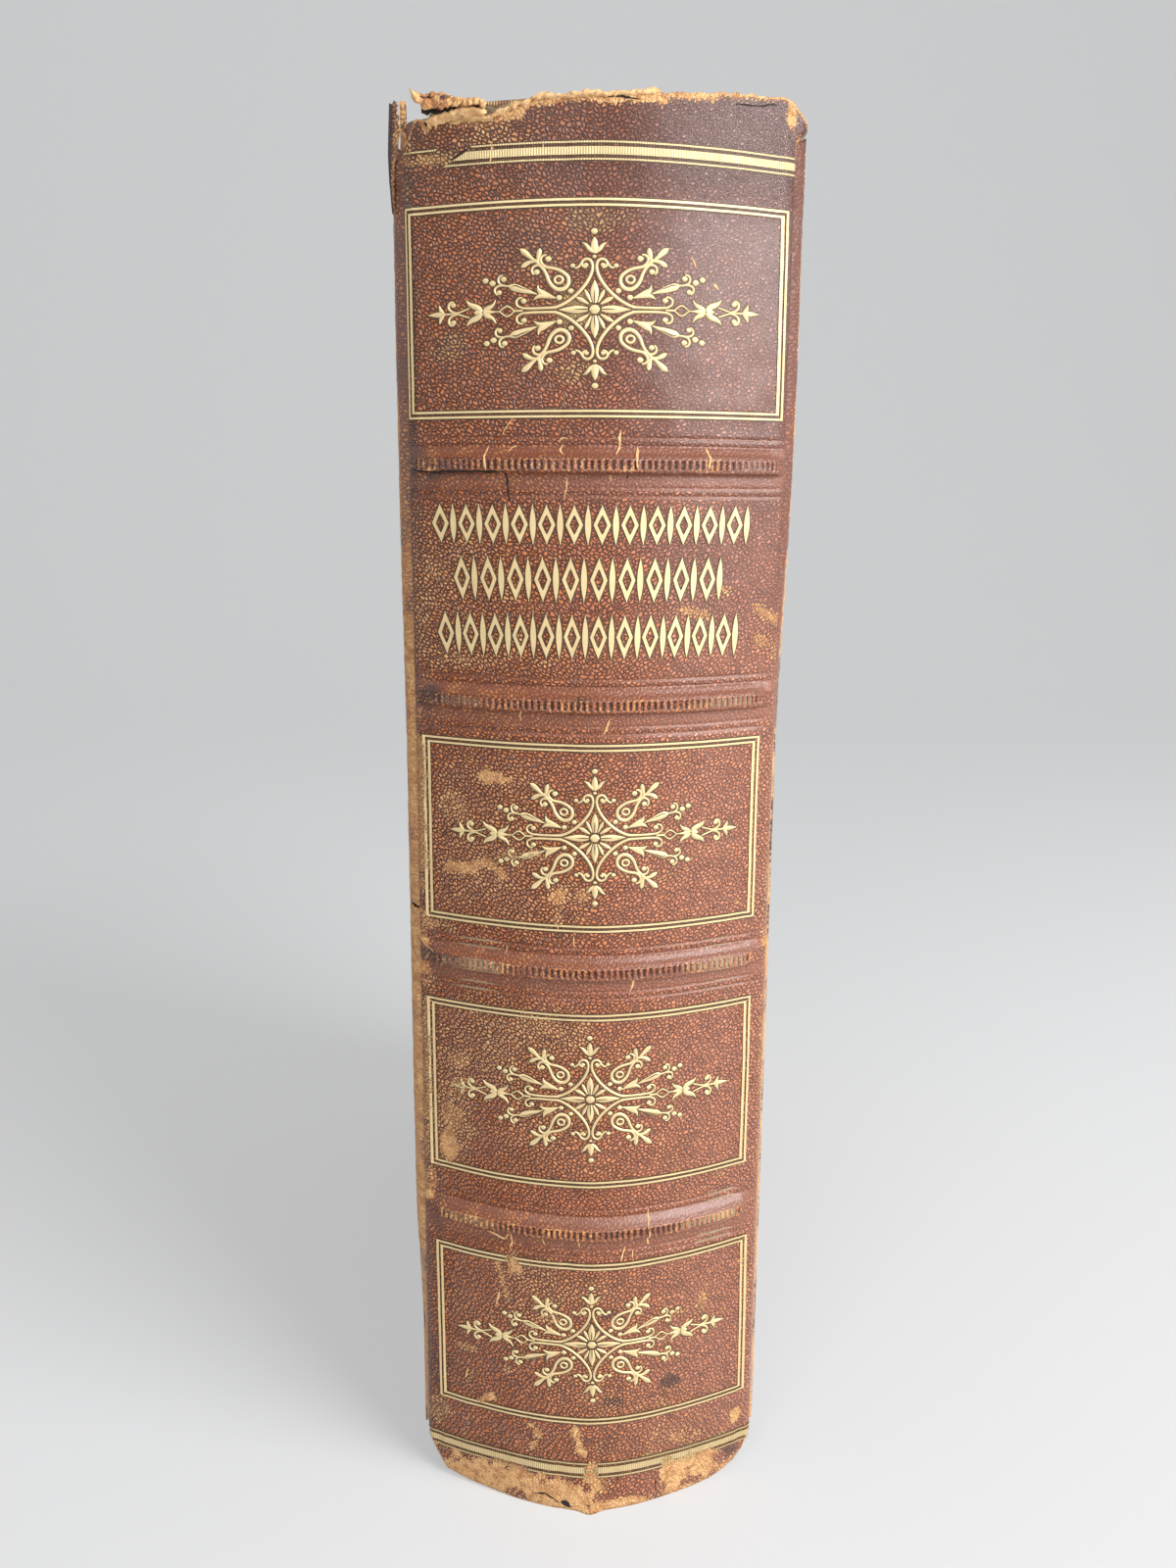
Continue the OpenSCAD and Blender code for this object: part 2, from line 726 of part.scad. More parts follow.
// Three rows of plain motifs in the place of a title
module title_rows() {
    low = band_z[1] + title_lift;
    gilded() for (row = [0:len(title_margin) - 1]) {
        half = spine_half - title_margin[row];
        h = title_row_h * title_share[row];
        count = floor(2 * half / motif_pitch);
        for (i = [0:count - 1])
            translate([title_shift[row] - half + (i + 0.5) * 2 * half / count - motif_pitch / 4,
                       low + row * title_pitch + h / 2])
                title_motif(h);
    }
}

text_block();
sewing_cords();
spine_mull();
head_endband();
tail_endband();
front_free_endpaper();
back_free_endpaper();
spine_liner();
spine_leather();
for (k = [1:4]) band_core(band_z[k - 1]);
for (k = [1:4]) panel_frame(k - 1);
for (k = [1:4]) panel_ornament(k - 1);
title_rows();
head_roll();
tail_roll();
front_board();
front_cover_leather();
front_pastedown();
back_board();
back_cover_leather();
back_pastedown();
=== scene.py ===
"""Dresses the antique leather book: its worn spine, gilding, torn head, joints, covers and pages.

The spine is worked out unrolled, as millimetres across and up, and then laid on the rounded back.
"""

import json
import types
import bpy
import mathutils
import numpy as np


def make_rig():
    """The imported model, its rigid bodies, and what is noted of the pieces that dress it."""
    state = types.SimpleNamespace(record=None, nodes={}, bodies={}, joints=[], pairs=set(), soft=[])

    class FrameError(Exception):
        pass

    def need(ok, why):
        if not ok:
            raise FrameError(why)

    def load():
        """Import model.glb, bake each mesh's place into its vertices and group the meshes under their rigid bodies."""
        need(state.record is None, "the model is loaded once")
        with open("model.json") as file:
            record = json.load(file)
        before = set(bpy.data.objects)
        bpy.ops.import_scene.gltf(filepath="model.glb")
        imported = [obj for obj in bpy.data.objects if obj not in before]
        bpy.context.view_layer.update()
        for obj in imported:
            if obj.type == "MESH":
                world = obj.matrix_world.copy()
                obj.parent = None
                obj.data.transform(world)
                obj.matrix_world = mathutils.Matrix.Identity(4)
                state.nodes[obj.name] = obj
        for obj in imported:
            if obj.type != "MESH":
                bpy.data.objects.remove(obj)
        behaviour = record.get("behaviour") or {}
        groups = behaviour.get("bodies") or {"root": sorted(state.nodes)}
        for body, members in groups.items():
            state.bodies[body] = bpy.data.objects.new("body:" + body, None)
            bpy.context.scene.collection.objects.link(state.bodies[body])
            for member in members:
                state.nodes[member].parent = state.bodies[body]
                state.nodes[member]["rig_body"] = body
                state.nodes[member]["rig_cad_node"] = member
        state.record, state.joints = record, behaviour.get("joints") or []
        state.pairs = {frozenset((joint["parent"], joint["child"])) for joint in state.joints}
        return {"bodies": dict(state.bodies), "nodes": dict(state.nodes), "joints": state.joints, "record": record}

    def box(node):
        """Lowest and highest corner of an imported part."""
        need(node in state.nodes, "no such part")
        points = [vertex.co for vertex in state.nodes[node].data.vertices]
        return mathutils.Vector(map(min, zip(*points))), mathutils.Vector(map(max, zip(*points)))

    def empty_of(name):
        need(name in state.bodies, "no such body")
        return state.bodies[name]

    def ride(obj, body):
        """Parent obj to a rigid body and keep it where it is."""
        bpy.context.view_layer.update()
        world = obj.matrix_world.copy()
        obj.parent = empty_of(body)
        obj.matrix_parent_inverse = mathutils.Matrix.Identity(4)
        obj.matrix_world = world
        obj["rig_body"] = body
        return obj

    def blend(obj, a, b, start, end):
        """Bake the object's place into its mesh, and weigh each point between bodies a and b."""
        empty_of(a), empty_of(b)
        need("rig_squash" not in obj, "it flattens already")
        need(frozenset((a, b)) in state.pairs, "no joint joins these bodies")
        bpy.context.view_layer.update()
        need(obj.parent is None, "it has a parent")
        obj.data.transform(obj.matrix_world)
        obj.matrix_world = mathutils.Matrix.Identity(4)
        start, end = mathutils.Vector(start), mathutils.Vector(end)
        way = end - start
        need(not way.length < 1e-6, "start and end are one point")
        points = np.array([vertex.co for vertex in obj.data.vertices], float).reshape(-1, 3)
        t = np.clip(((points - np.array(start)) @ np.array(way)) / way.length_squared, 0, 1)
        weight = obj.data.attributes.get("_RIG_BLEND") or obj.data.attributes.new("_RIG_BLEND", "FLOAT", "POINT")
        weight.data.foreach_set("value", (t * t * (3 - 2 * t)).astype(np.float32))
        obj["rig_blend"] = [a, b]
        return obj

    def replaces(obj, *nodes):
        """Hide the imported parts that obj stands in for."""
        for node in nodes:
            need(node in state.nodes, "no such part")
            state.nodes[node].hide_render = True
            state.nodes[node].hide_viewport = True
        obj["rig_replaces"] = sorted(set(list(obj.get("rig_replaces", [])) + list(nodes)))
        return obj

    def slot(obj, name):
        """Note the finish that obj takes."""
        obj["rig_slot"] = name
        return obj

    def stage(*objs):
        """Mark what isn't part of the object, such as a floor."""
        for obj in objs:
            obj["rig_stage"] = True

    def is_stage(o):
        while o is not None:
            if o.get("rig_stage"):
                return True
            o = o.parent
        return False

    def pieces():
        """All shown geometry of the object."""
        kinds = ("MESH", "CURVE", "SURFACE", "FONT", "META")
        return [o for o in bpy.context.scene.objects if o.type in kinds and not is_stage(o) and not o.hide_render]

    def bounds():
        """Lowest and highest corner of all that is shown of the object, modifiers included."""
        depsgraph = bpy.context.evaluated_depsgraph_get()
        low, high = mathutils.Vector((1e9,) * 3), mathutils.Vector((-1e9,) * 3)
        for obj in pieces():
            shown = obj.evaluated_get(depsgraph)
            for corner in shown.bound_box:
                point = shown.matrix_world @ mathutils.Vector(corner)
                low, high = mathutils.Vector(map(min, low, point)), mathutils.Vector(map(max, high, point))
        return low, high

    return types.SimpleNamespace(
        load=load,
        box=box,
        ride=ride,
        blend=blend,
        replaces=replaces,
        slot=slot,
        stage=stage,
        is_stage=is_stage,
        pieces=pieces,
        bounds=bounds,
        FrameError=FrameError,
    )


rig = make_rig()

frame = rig.load()

import json
import logging
import math
from dataclasses import dataclass, field
from enum import Enum, IntEnum

import bmesh
import bpy
import numpy as np
from mathutils import Matrix, Vector

LOG = logging.getLogger("antique_book")
MM = 0.001
SIZE_FILE = "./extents.json"
WEAR_LAYER = "wear_map"
SPREAD_LAYER = "spread"
FULL_TURN = 2 * math.pi


class Side(Enum):
    """The two covers, by the sign of their side of the book."""

    FRONT = 1
    BACK = -1

    @property
    def label(self) -> str:
        """The word that starts the names of the side's pieces."""
        return self.name.lower()

    @property
    def body(self) -> str:
        """The name of the cover's body."""
        return f"{self.label}_cover"


class Wear(IntEnum):
    """The channels of the wear map."""

    RUBBED = 0
    SMOOTH = 1
    # Stains and dirt, and painted shade in grooves, blind lines, holes and under the bands.
    GRIME = 2
    GOLD_DUST = 3


# Shader maths


class Nodes(Enum):
    """What a graph may belong to: Blender's list of them and the type of their output."""

    MATERIAL = ("materials", "ShaderNodeOutputMaterial")
    WORLD = ("worlds", "ShaderNodeOutputWorld")


class Val:
    """A number that a shader works out, with Python's operators as its maths."""

    def __init__(self, graph: "Graph", socket: bpy.types.NodeSocket) -> None:
        """Wraps a socket of a graph."""
        self.graph = graph
        self.socket = socket

    def _math(self, operation: str, *values: "Val | float") -> "Val":
        """A Math node on these values."""
        made = self.graph.node("ShaderNodeMath", {"operation": operation}, dict(enumerate(values)))
        return Val(self.graph, made.outputs[0])

    def __add__(self, other: "Val | float") -> "Val":
        """self + other."""
        return self._math("ADD", self, other)

    __radd__ = __add__

    def __sub__(self, other: "Val | float") -> "Val":
        """self - other."""
        return self._math("SUBTRACT", self, other)

    def __rsub__(self, other: float) -> "Val":
        """other - self."""
        return self._math("SUBTRACT", other, self)

    def __mul__(self, other: "Val | float") -> "Val":
        """self * other."""
        return self._math("MULTIPLY", self, other)

    __rmul__ = __mul__

    def sine(self) -> "Val":
        """The sine of self."""
        return self._math("SINE", self)

    def size(self) -> "Val":
        """The absolute value of self."""
        return self._math("ABSOLUTE", self)

    def larger(self, other: "Val | float") -> "Val":
        """The larger of self and other."""
        return self._math("MAXIMUM", self, other)

    def smaller(self, other: "Val | float") -> "Val":
        """The smaller of self and other."""
        return self._math("MINIMUM", self, other)

    def rise(self, low: float, high: float) -> "Val":
        """0 below low, 1 above high and smooth between, or falling where low is above high."""
        flip = low > high
        ends = (high, low) if flip else (low, high)
        made = self.graph.node(
            "ShaderNodeMapRange",
            {"interpolation_type": "SMOOTHSTEP"},
            {"Value": self, "From Min": ends[0], "From Max": ends[1]},
        )
        smooth = Val(self.graph, made.outputs[0])
        return 1 - smooth if flip else smooth


class Graph:
    """The nodes of one material, or of the world."""

    def __init__(self, name: str, kind: Nodes = Nodes.MATERIAL) -> None:
        """Starts an empty material or world of that name."""
        self.kind = kind
        self.owner = getattr(bpy.data, kind.value[0]).new(name)
        self.owner.use_nodes = True
        self.tree = self.owner.node_tree
        self.tree.nodes.clear()

    def node(self, kind: str, settings: dict | None = None, inputs: dict | None = None) -> bpy.types.Node:
        """Makes one node.

        Args:
            kind: the node's type.
            settings: its own settings, set first.
            inputs: values or links, by the socket's name or number.

        Returns:
            The node.
        """
        made = self.tree.nodes.new(kind)
        for key, value in (settings or {}).items():
            setattr(made, key, value)
        for key, value in (inputs or {}).items():
            source = value.socket if isinstance(value, Val) else value
            if isinstance(source, bpy.types.NodeSocket):
                self.tree.links.new(source, made.inputs[key])
            else:
                made.inputs[key].default_value = source
        return made

    def value(self, kind: str, settings: dict | None, inputs: dict) -> Val:
        """A node's first output as a number."""
        return Val(self, self.node(kind, settings, inputs).outputs[0])

    def spread(self) -> bpy.types.NodeSocket:
        """A place on the unrolled spine, in millimetres."""
        return self.node("ShaderNodeUVMap", {"uv_map": SPREAD_LAYER}).outputs[0]

    def place(self) -> bpy.types.NodeSocket:
        """A place in the book, in metres."""
        return self.node("ShaderNodeTexCoord").outputs["Object"]

    def parts(self, place: object) -> list[Val]:
        """The three parts of a place."""
        return [Val(self, part) for part in self.node("ShaderNodeSeparateXYZ", None, {0: place}).outputs]

    def wear(self) -> list[Val]:
        """The wear of the surface, in the order of Wear."""
        layer = self.node("ShaderNodeVertexColor", {"layer_name": WEAR_LAYER})
        colours = self.node("ShaderNodeSeparateColor", None, {0: layer.outputs[0]})
        return [*(Val(self, colours.outputs[k]) for k in range(3)), Val(self, layer.outputs[1])]

    def mix(self, share: Val | float, low: object, high: object) -> bpy.types.NodeSocket:
        """Two colours mixed, low at share 0 and high at share 1."""
        inputs = {0: share, 6: self._colour(low), 7: self._colour(high)}
        return self.node("ShaderNodeMix", {"data_type": "RGBA"}, inputs).outputs[2]

    @staticmethod
    def _colour(value: object) -> object:
        """A colour with its alpha, or a socket as it is."""
        return (*value, 1.0) if isinstance(value, tuple) else value

    def noise(self, place: object, scale: float, detail: float = 2.0, roughness: float = 0.55) -> Val:
        """Plain noise from 0 to 1 at that scale."""
        inputs = {"Vector": place, "Scale": scale, "Detail": detail, "Roughness": roughness}
        return self.value("ShaderNodeTexNoise", None, inputs)

    def stretched(self, place: object, scale: tuple[float, float, float]) -> bpy.types.NodeSocket:
        """A place stretched for a pattern."""
        return self.node("ShaderNodeMapping", None, {"Vector": place, "Scale": scale}).outputs[0]

    def finish(self, inputs: dict, height: Val, depth: float) -> bpy.types.Material:
        """Makes the surface of the material and ends it.

        Args:
            inputs: values or links of the principled shader.
            height: the relief of the surface.
            depth: how deep the relief is, in metres.

        Returns:
            The material.
        """
        bump = self.node("ShaderNodeBump", None, {"Height": height, "Distance": depth, "Strength": 1.0})
        shader = self.node("ShaderNodeBsdfPrincipled", None, {**inputs, "Normal": bump.outputs[0]})
        return self.output(shader)

    def output(self, shader: bpy.types.Node) -> bpy.types.Material | bpy.types.World:
        """Joins a shader to the output."""
        self.node(self.kind.value[1], None, {"Surface": shader.outputs[0]})
        return self.owner

    def seen(self) -> Val:
        """1 for what the camera sees, straight on, in a reflection or through glass."""
        rays = self.node("ShaderNodeLightPath")
        kinds = ("Camera", "Glossy", "Transmission")
        straight, mirrored, through = (Val(self, rays.outputs[f"Is {kind} Ray"]) for kind in kinds)
        return (straight + mirrored + through).smaller(1.0)


# Finishes


@dataclass(frozen=True)
class SpineSkin:
    """Pebbled red-brown leather that wears to tan along the ridges of its grain."""

    creases: tuple = (0.030, 0.0050, 0.0015)
    crowns: tuple = (0.56, 0.128, 0.014)
    maroon: tuple = (0.54, 0.150, 0.044)
    # The right-hand colours are a painted sheen from the lamp on that side, with painted light at the lower right and
    # painted shade at the upper right.
    right_creases: tuple = (0.095, 0.026, 0.015)
    right_low: tuple = (0.92, 0.335, 0.165)
    right_high: tuple = (0.23, 0.080, 0.056)
    # Smooth rubbed leather, made lighter as painted light on the band slopes that face up.
    rubbed_smooth: tuple = (0.21, 0.062, 0.026)
    grime: tuple = (0.040, 0.014, 0.010)
    scuffed: tuple = (0.64, 0.235, 0.062)
    tan: tuple = (0.66, 0.34, 0.12)
    tan_light: tuple = (0.90, 0.60, 0.30)
    tan_dark: tuple = (0.40, 0.155, 0.050)
    gold: tuple = (0.52, 0.39, 0.15)
    pebble: tuple = (0.80, 0.54, 1.0)
    slant: float = 0.62
    unevenness: float = 0.88
    wobble: float = 0.6
    grain_depth: float = 0.00030
    roughness: float = 0.28
    coat: float = 0.05
    coat_roughness: float = 0.34
    gloss: float = 0.62

    def _crown(self, g: Graph, spread: bpy.types.NodeSocket, fine: Val) -> Val:
        """The slanting pebbles of the grain, 0 in the creases and 1 on the crowns."""
        drift = g.node(
            "ShaderNodeTexNoise", {"noise_dimensions": "2D"}, {"Vector": spread, "Scale": 0.7, "Detail": 2.0}
        )
        bent = g.node(
            "ShaderNodeVectorMath",
            {"operation": "MULTIPLY_ADD"},
            {0: drift.outputs[1], 1: (self.wobble, self.wobble, 0.0), 2: spread},
        )
        across, up, _ = g.parts(bent.outputs[0])
        folded = g.node("ShaderNodeCombineXYZ", None, {0: across.size(), 1: up})
        slanted = g.node(
            "ShaderNodeMapping",
            {"vector_type": "TEXTURE"},
            {"Vector": folded.outputs[0], "Rotation": (0.0, 0.0, self.slant), "Scale": self.pebble},
        )
        cells = g.value(
            "ShaderNodeTexVoronoi",
            {"voronoi_dimensions": "2D", "feature": "DISTANCE_TO_EDGE"},
            {"Vector": slanted.outputs[0], "Scale": 1.0, "Randomness": self.unevenness},
        )
        return (cells + (fine - 0.5) * 0.22).rise(0.045, 0.36)

    def make(self) -> bpy.types.Material:
        """Builds the material on the unrolled spine's map.

        Returns:
            The material.
        """
        g = Graph("spine_leather_worn")
        spread = g.spread()
        rubbed, smooth, grime, dust = g.wear()
        fine = g.noise(spread, 3.4, 3.0, 0.6)
        patchy = g.noise(spread, 0.32, 3.0)
        broad = g.noise(spread, 0.07, 2.0)
        crown = self._crown(g, spread, fine)
        across, height, _ = g.parts(spread)
        # Towards the right the leather takes paler, pinker colours: a painted sheen from the lamp on that side, with
        # painted light at the lower right and painted shade at the upper right.
        right_side_sheen = (across + (broad - 0.5) * 24).rise(-22, 24)
        red = (height + (broad - 0.5) * 90).rise(120, 225)
        tone = crown * (0.95 - right_side_sheen * 0.35) + (fine - 0.4) * 0.7 + (patchy - 0.45) * 0.35
        left_crowns = g.mix(red, self.crowns, self.maroon)
        crowns = g.mix(right_side_sheen, left_crowns, g.mix(red, self.right_low, self.right_high))
        base = g.mix(tone, g.mix(right_side_sheen, self.creases, self.right_creases), crowns)
        base = g.mix(height.rise(220, 224) * 0.3, base, self.grime)
        # Smooth places take a lighter colour: rubbed smooth leather, and painted light on the band slopes that face
        # up.
        base = g.mix(smooth * 0.8, base, self.rubbed_smooth)
        # The darkening channel: stains and dirt, with painted shade in blind lines, rib grooves, holes and under the
        # bands.
        base = g.mix((grime + (patchy - 0.5) * 0.3).rise(0.1, 0.9) * 0.75, base, self.grime)
        creased = (crown - 1) * (1.1 - 0.8 * smooth) * (1 - rubbed.rise(0.8, 1.0) * 0.7)
        handled = (1 - right_side_sheen) * patchy.rise(0.34, 0.62) * 0.4
        level = (rubbed * 1.75).larger(handled) + creased + (fine - 0.5) * 0.8
        level = level + (patchy - 0.5) * 0.6 * rubbed.smaller(0.5)
        scuffed = (level - 0.03).rise(0.0, 0.55)
        bare = level.rise(0.35, 0.85)
        fibres = g.noise(spread, 0.9, 5.0, 0.75)
        tan = g.mix(fine.rise(0.38, 0.68), self.tan, self.tan_light)
        tan = g.mix((fibres * 0.7 + patchy * 0.3).rise(0.56, 0.40) * 0.85, tan, self.tan_dark)
        colour = g.mix(scuffed * (0.85 - red * 0.25), base, self.scuffed)
        colour = g.mix(bare * 0.95, colour, tan)
        gilt = (dust * 1.4 + (fine - 0.5) * 1.3 + (crown - 1) * 0.5).rise(0.1, 0.9)
        coat = right_side_sheen * 0.42 * (1 - height.rise(216, 222) * 0.7) + red * 0.05 + self.coat
        grain = crown * (1 - 0.85 * smooth) * (1 - 0.4 * bare) + fine * 0.3 + bare * fine * 0.6
        return g.finish(
            {
                "Base Color": g.mix(gilt * 0.6, colour, self.gold),
                "Roughness": self.roughness + bare * 0.4 + scuffed * 0.1 + (fine - 0.5) * 0.1,
                "Coat Weight": coat * (1 - bare),
                "Coat Roughness": self.coat_roughness,
                "Specular IOR Level": self.gloss,
            },
            grain,
            self.grain_depth,
        )


@dataclass(frozen=True)
class CoverSkin:
    """The same leather on the covers, rubbed to tan along the edges and at the corners."""

    creases: tuple = (0.050, 0.0115, 0.0050)
    crowns: tuple = (0.175, 0.043, 0.017)
    grime: tuple = (0.040, 0.017, 0.014)
    tan: tuple = (0.56, 0.28, 0.11)
    tan_light: tuple = (0.74, 0.44, 0.20)
    cell: float = 0.78
    unevenness: float = 0.9
    grain_depth: float = 0.00013
    roughness: float = 0.42
    coat: float = 0.06
    coat_roughness: float = 0.35
    gloss: float = 0.38

    def _rubbed(self, g: Graph, place: bpy.types.NodeSocket, patchy: Val) -> Val:
        """How far the edges, corners, joints and sides of a cover are rubbed, from 0 to 1."""
        low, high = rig.box("front_cover_leather")
        scuffs = g.noise(g.stretched(place, (1.0, 1.0, 3.5)), 210, 5.0, 0.68)
        _, y, z = g.parts(place)
        from_foot = z.smaller(high.z - z) * (1 / MM)
        from_fore = (high.y - y) * (1 / MM)
        from_joint = (y - low.y) * (1 / MM)
        edge = from_foot.smaller(from_fore)
        corner = from_foot * 0.5 + from_fore * 0.5
        rubbed = (edge + (patchy - 0.5) * 5).rise(1.8, 0.0) * 0.9
        rubbed = rubbed.larger((corner + (patchy - 0.5) * 16).rise(9, 2))
        rubbed = rubbed.larger((from_joint + (patchy - 0.5) * 4).rise(1.6, 0.2) * 0.8)
        return rubbed.larger((scuffs - 0.655).rise(0.0, 0.09) * 0.7)

    def make(self) -> bpy.types.Material:
        """Builds the material on the book's own coordinates.

        Returns:
            The material.
        """
        g = Graph("cover_leather_worn")
        place = g.place()
        cells = g.value(
            "ShaderNodeTexVoronoi",
            {"feature": "DISTANCE_TO_EDGE"},
            {"Vector": place, "Scale": 1 / (self.cell * MM), "Randomness": self.unevenness},
        )
        crown = cells.rise(0.0, 0.30)
        fine = g.noise(place, 2600, 3.0)
        patchy = g.noise(place, 120, 4.0, 0.6)
        rubbed = self._rubbed(g, place, patchy)
        base = g.mix(crown, self.creases, self.crowns)
        base = g.mix(patchy.rise(0.45, 0.75) * 0.5, base, self.grime)
        bare = (rubbed * 1.6 + (crown - 1) * 0.8 + (fine - 0.5) * 0.5).rise(0.05, 0.5)
        tan = g.mix(fine.rise(0.35, 0.7), self.tan, self.tan_light)
        return g.finish(
            {
                "Base Color": g.mix(bare * 0.9, base, tan),
                "Roughness": self.roughness + bare * 0.32 + (patchy - 0.5) * 0.15,
                "Coat Weight": self.coat,
                "Coat Roughness": self.coat_roughness,
                "Specular IOR Level": self.gloss,
            },
            crown * (1 - 0.5 * bare) + fine * 0.3,
            self.grain_depth,
        )


@dataclass(frozen=True)
class GoldLeaf:
    """Old gold leaf under a glaze, thin and dull where it is rubbed, with hatching on the broad lines."""

    bright: tuple = (0.78, 0.60, 0.32)
    dull: tuple = (0.58, 0.44, 0.23)
    between: tuple = (0.20, 0.12, 0.045)
    metallic: float = 0.35
    relief: float = 0.00005
    hatch: float = 0.0

    def make(self) -> bpy.types.Material:
        """Builds the material, which lets the leather show where the leaf is gone.

        Returns:
            The material.
        """
        g = Graph("gold_leaf_hatched" if self.hatch else "gold_leaf_old")
        spread = g.spread()
        rubbed = g.wear()[Wear.RUBBED]
        across = g.parts(spread)[0]
        fine = g.noise(spread, 3.0, 3.0, 0.65)
        patchy = g.noise(spread, 0.5, 3.0, 0.6)
        lost = (rubbed * 1.15 + (fine - 0.5) * 1.3 + (patchy - 0.5) * 0.9).rise(0.80, 1.02)
        # Rubbed and patchy leaf is dull; the across term also makes the gold duller towards the right, painted shade
        # that holds back the lamp's glare there.
        dullness_and_shade = (0.62 - patchy * 0.8 + rubbed * 0.4 + across * 0.006).rise(0.0, 0.8)
        colour = g.mix(dullness_and_shade, self.bright, self.dull)
        height = fine * 0.6
        if self.hatch:
            stripes = (across * (FULL_TURN / self.hatch)).sine().rise(-0.5, 0.6)
            colour = g.mix(stripes * 0.55, colour, self.between)
            height = height - stripes
        return g.finish(
            {
                "Base Color": colour,
                "Metallic": self.metallic,
                "Roughness": 0.42 + dullness_and_shade * 0.2,
                "Alpha": 1 - lost,
            },
            height,
            self.relief,
        )


@dataclass(frozen=True)
class ToolMark:
    """The dark line beside the gold, partly the hot tool's scorch and partly painted shadow of the sunken impression,
    gone where the leather is rubbed.
    """

    deep: tuple = (0.050, 0.022, 0.008)
    edge: tuple = (0.125, 0.066, 0.026)
    roughness: float = 0.55
    relief: float = 0.00004

    def make(self) -> bpy.types.Material:
        """Builds the material.

        Returns:
            The material.
        """
        g = Graph("tooled_outline")
        fine = g.noise(g.spread(), 2.4, 3.0, 0.65)
        gone = (g.wear()[Wear.RUBBED] * 1.3 + (fine - 0.5) * 1.4).rise(0.40, 0.90)
        colour = g.mix(fine.rise(0.35, 0.7), self.deep, self.edge)
        inputs = {"Base Color": colour, "Roughness": self.roughness, "Alpha": 1 - gone}
        return g.finish(inputs, fine, self.relief)


@dataclass(frozen=True)
class PlainCoat:
    """A finish of one colour with a little mottling, for what lies deep or between other pieces."""

    name: str
    colour: tuple
    second: tuple
    scale: float = 900.0
    roughness: float = 0.8
    relief: float = 0.00005

    def make(self) -> bpy.types.Material:
        """Builds the material.

        Returns:
            The material.
        """
        g = Graph(self.name)
        mottle = g.noise(g.place(), self.scale, 4.0, 0.6)
        colour = g.mix(mottle.rise(0.3, 0.7), self.colour, self.second)
        return g.finish({"Base Color": colour, "Roughness": self.roughness}, mottle, self.relief)


@dataclass(frozen=True)
class PageEdges:
    """The cut edges of several hundred old leaves, dusty at the head and browned."""

    cream: tuple = (0.66, 0.52, 0.33)
    shade: tuple = (0.34, 0.235, 0.13)
    stain: tuple = (0.40, 0.26, 0.13)
    dust: tuple = (0.30, 0.235, 0.165)
    leaf: float = 0.13
    gathering: float = 2.6
    dust_depth: float = 0.004
    roughness: float = 0.85
    relief: float = 0.00012

    def make(self) -> bpy.types.Material:
        """Builds the material, with the leaves lying side by side along the book's thickness.

        Returns:
            The material.
        """
        g = Graph("page_edges")
        _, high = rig.box("text_block")
        place = g.place()
        waver = g.noise(place, 45, 2.0)
        across, y, z = g.parts(place)
        x = across * (1 / MM) + (waver - 0.5) * 0.6
        leaves = g.noise(g.stretched(place, (1 / (self.leaf * MM), 30.0, 30.0)), 1.0, 3.0, 0.7)
        folds = (x * (FULL_TURN / self.gathering)).sine().rise(0.55, 1.0)
        stains = g.noise(place, 55, 4.0, 0.6)
        on_head = (z - (high.z - self.dust_depth)).rise(0.0, self.dust_depth)
        on_fore = ((high.y - self.dust_depth) - y).rise(0.0, -self.dust_depth)
        colour = g.mix(leaves.rise(0.25, 0.75), self.shade, self.cream)
        colour = g.mix(folds * 0.35, colour, self.shade)
        colour = g.mix(stains.rise(0.52, 0.75) * 0.35, colour, self.stain)
        colour = g.mix(on_head * 0.45, colour, self.dust)
        colour = g.mix(on_fore * 0.15, colour, self.dust)
        inputs = {"Base Color": colour, "Roughness": self.roughness}
        return g.finish(inputs, leaves * 0.7 - folds * 0.6, self.relief)


@dataclass(frozen=True)
class OldPaper:
    """Cream endpaper with foxing and a browned border."""

    paper: tuple = (0.66, 0.54, 0.36)
    brown: tuple = (0.42, 0.27, 0.13)
    cloudy: tuple = (0.52, 0.38, 0.22)
    roughness: float = 0.8
    relief: float = 0.00004

    def make(self) -> bpy.types.Material:
        """Builds the material.

        Returns:
            The material.
        """
        g = Graph("old_endpaper")
        low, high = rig.box("front_free_endpaper")
        place = g.place()
        _, y, z = g.parts(place)
        cloud = g.noise(place, 38, 4.0)
        spots = g.value(
            "ShaderNodeTexVoronoi", {"feature": "F1"}, {"Vector": place, "Scale": 160.0, "Randomness": 1.0}
        )
        gate = g.noise(place, 70, 2.0)
        edge = (z - low.z).smaller(high.z - z).smaller(high.y - y) * (1 / MM)
        colour = g.mix((edge + (cloud - 0.5) * 18).rise(14, 0) * 0.6, self.paper, self.brown)
        colour = g.mix(spots.rise(0.16, 0.05) * gate.rise(0.52, 0.6) * 0.6, colour, self.brown)
        colour = g.mix(cloud.rise(0.45, 0.8) * 0.3, colour, self.cloudy)
        height = cloud + g.noise(place, 3000, 2.0) * 0.2
        return g.finish({"Base Color": colour, "Roughness": self.roughness}, height, self.relief)


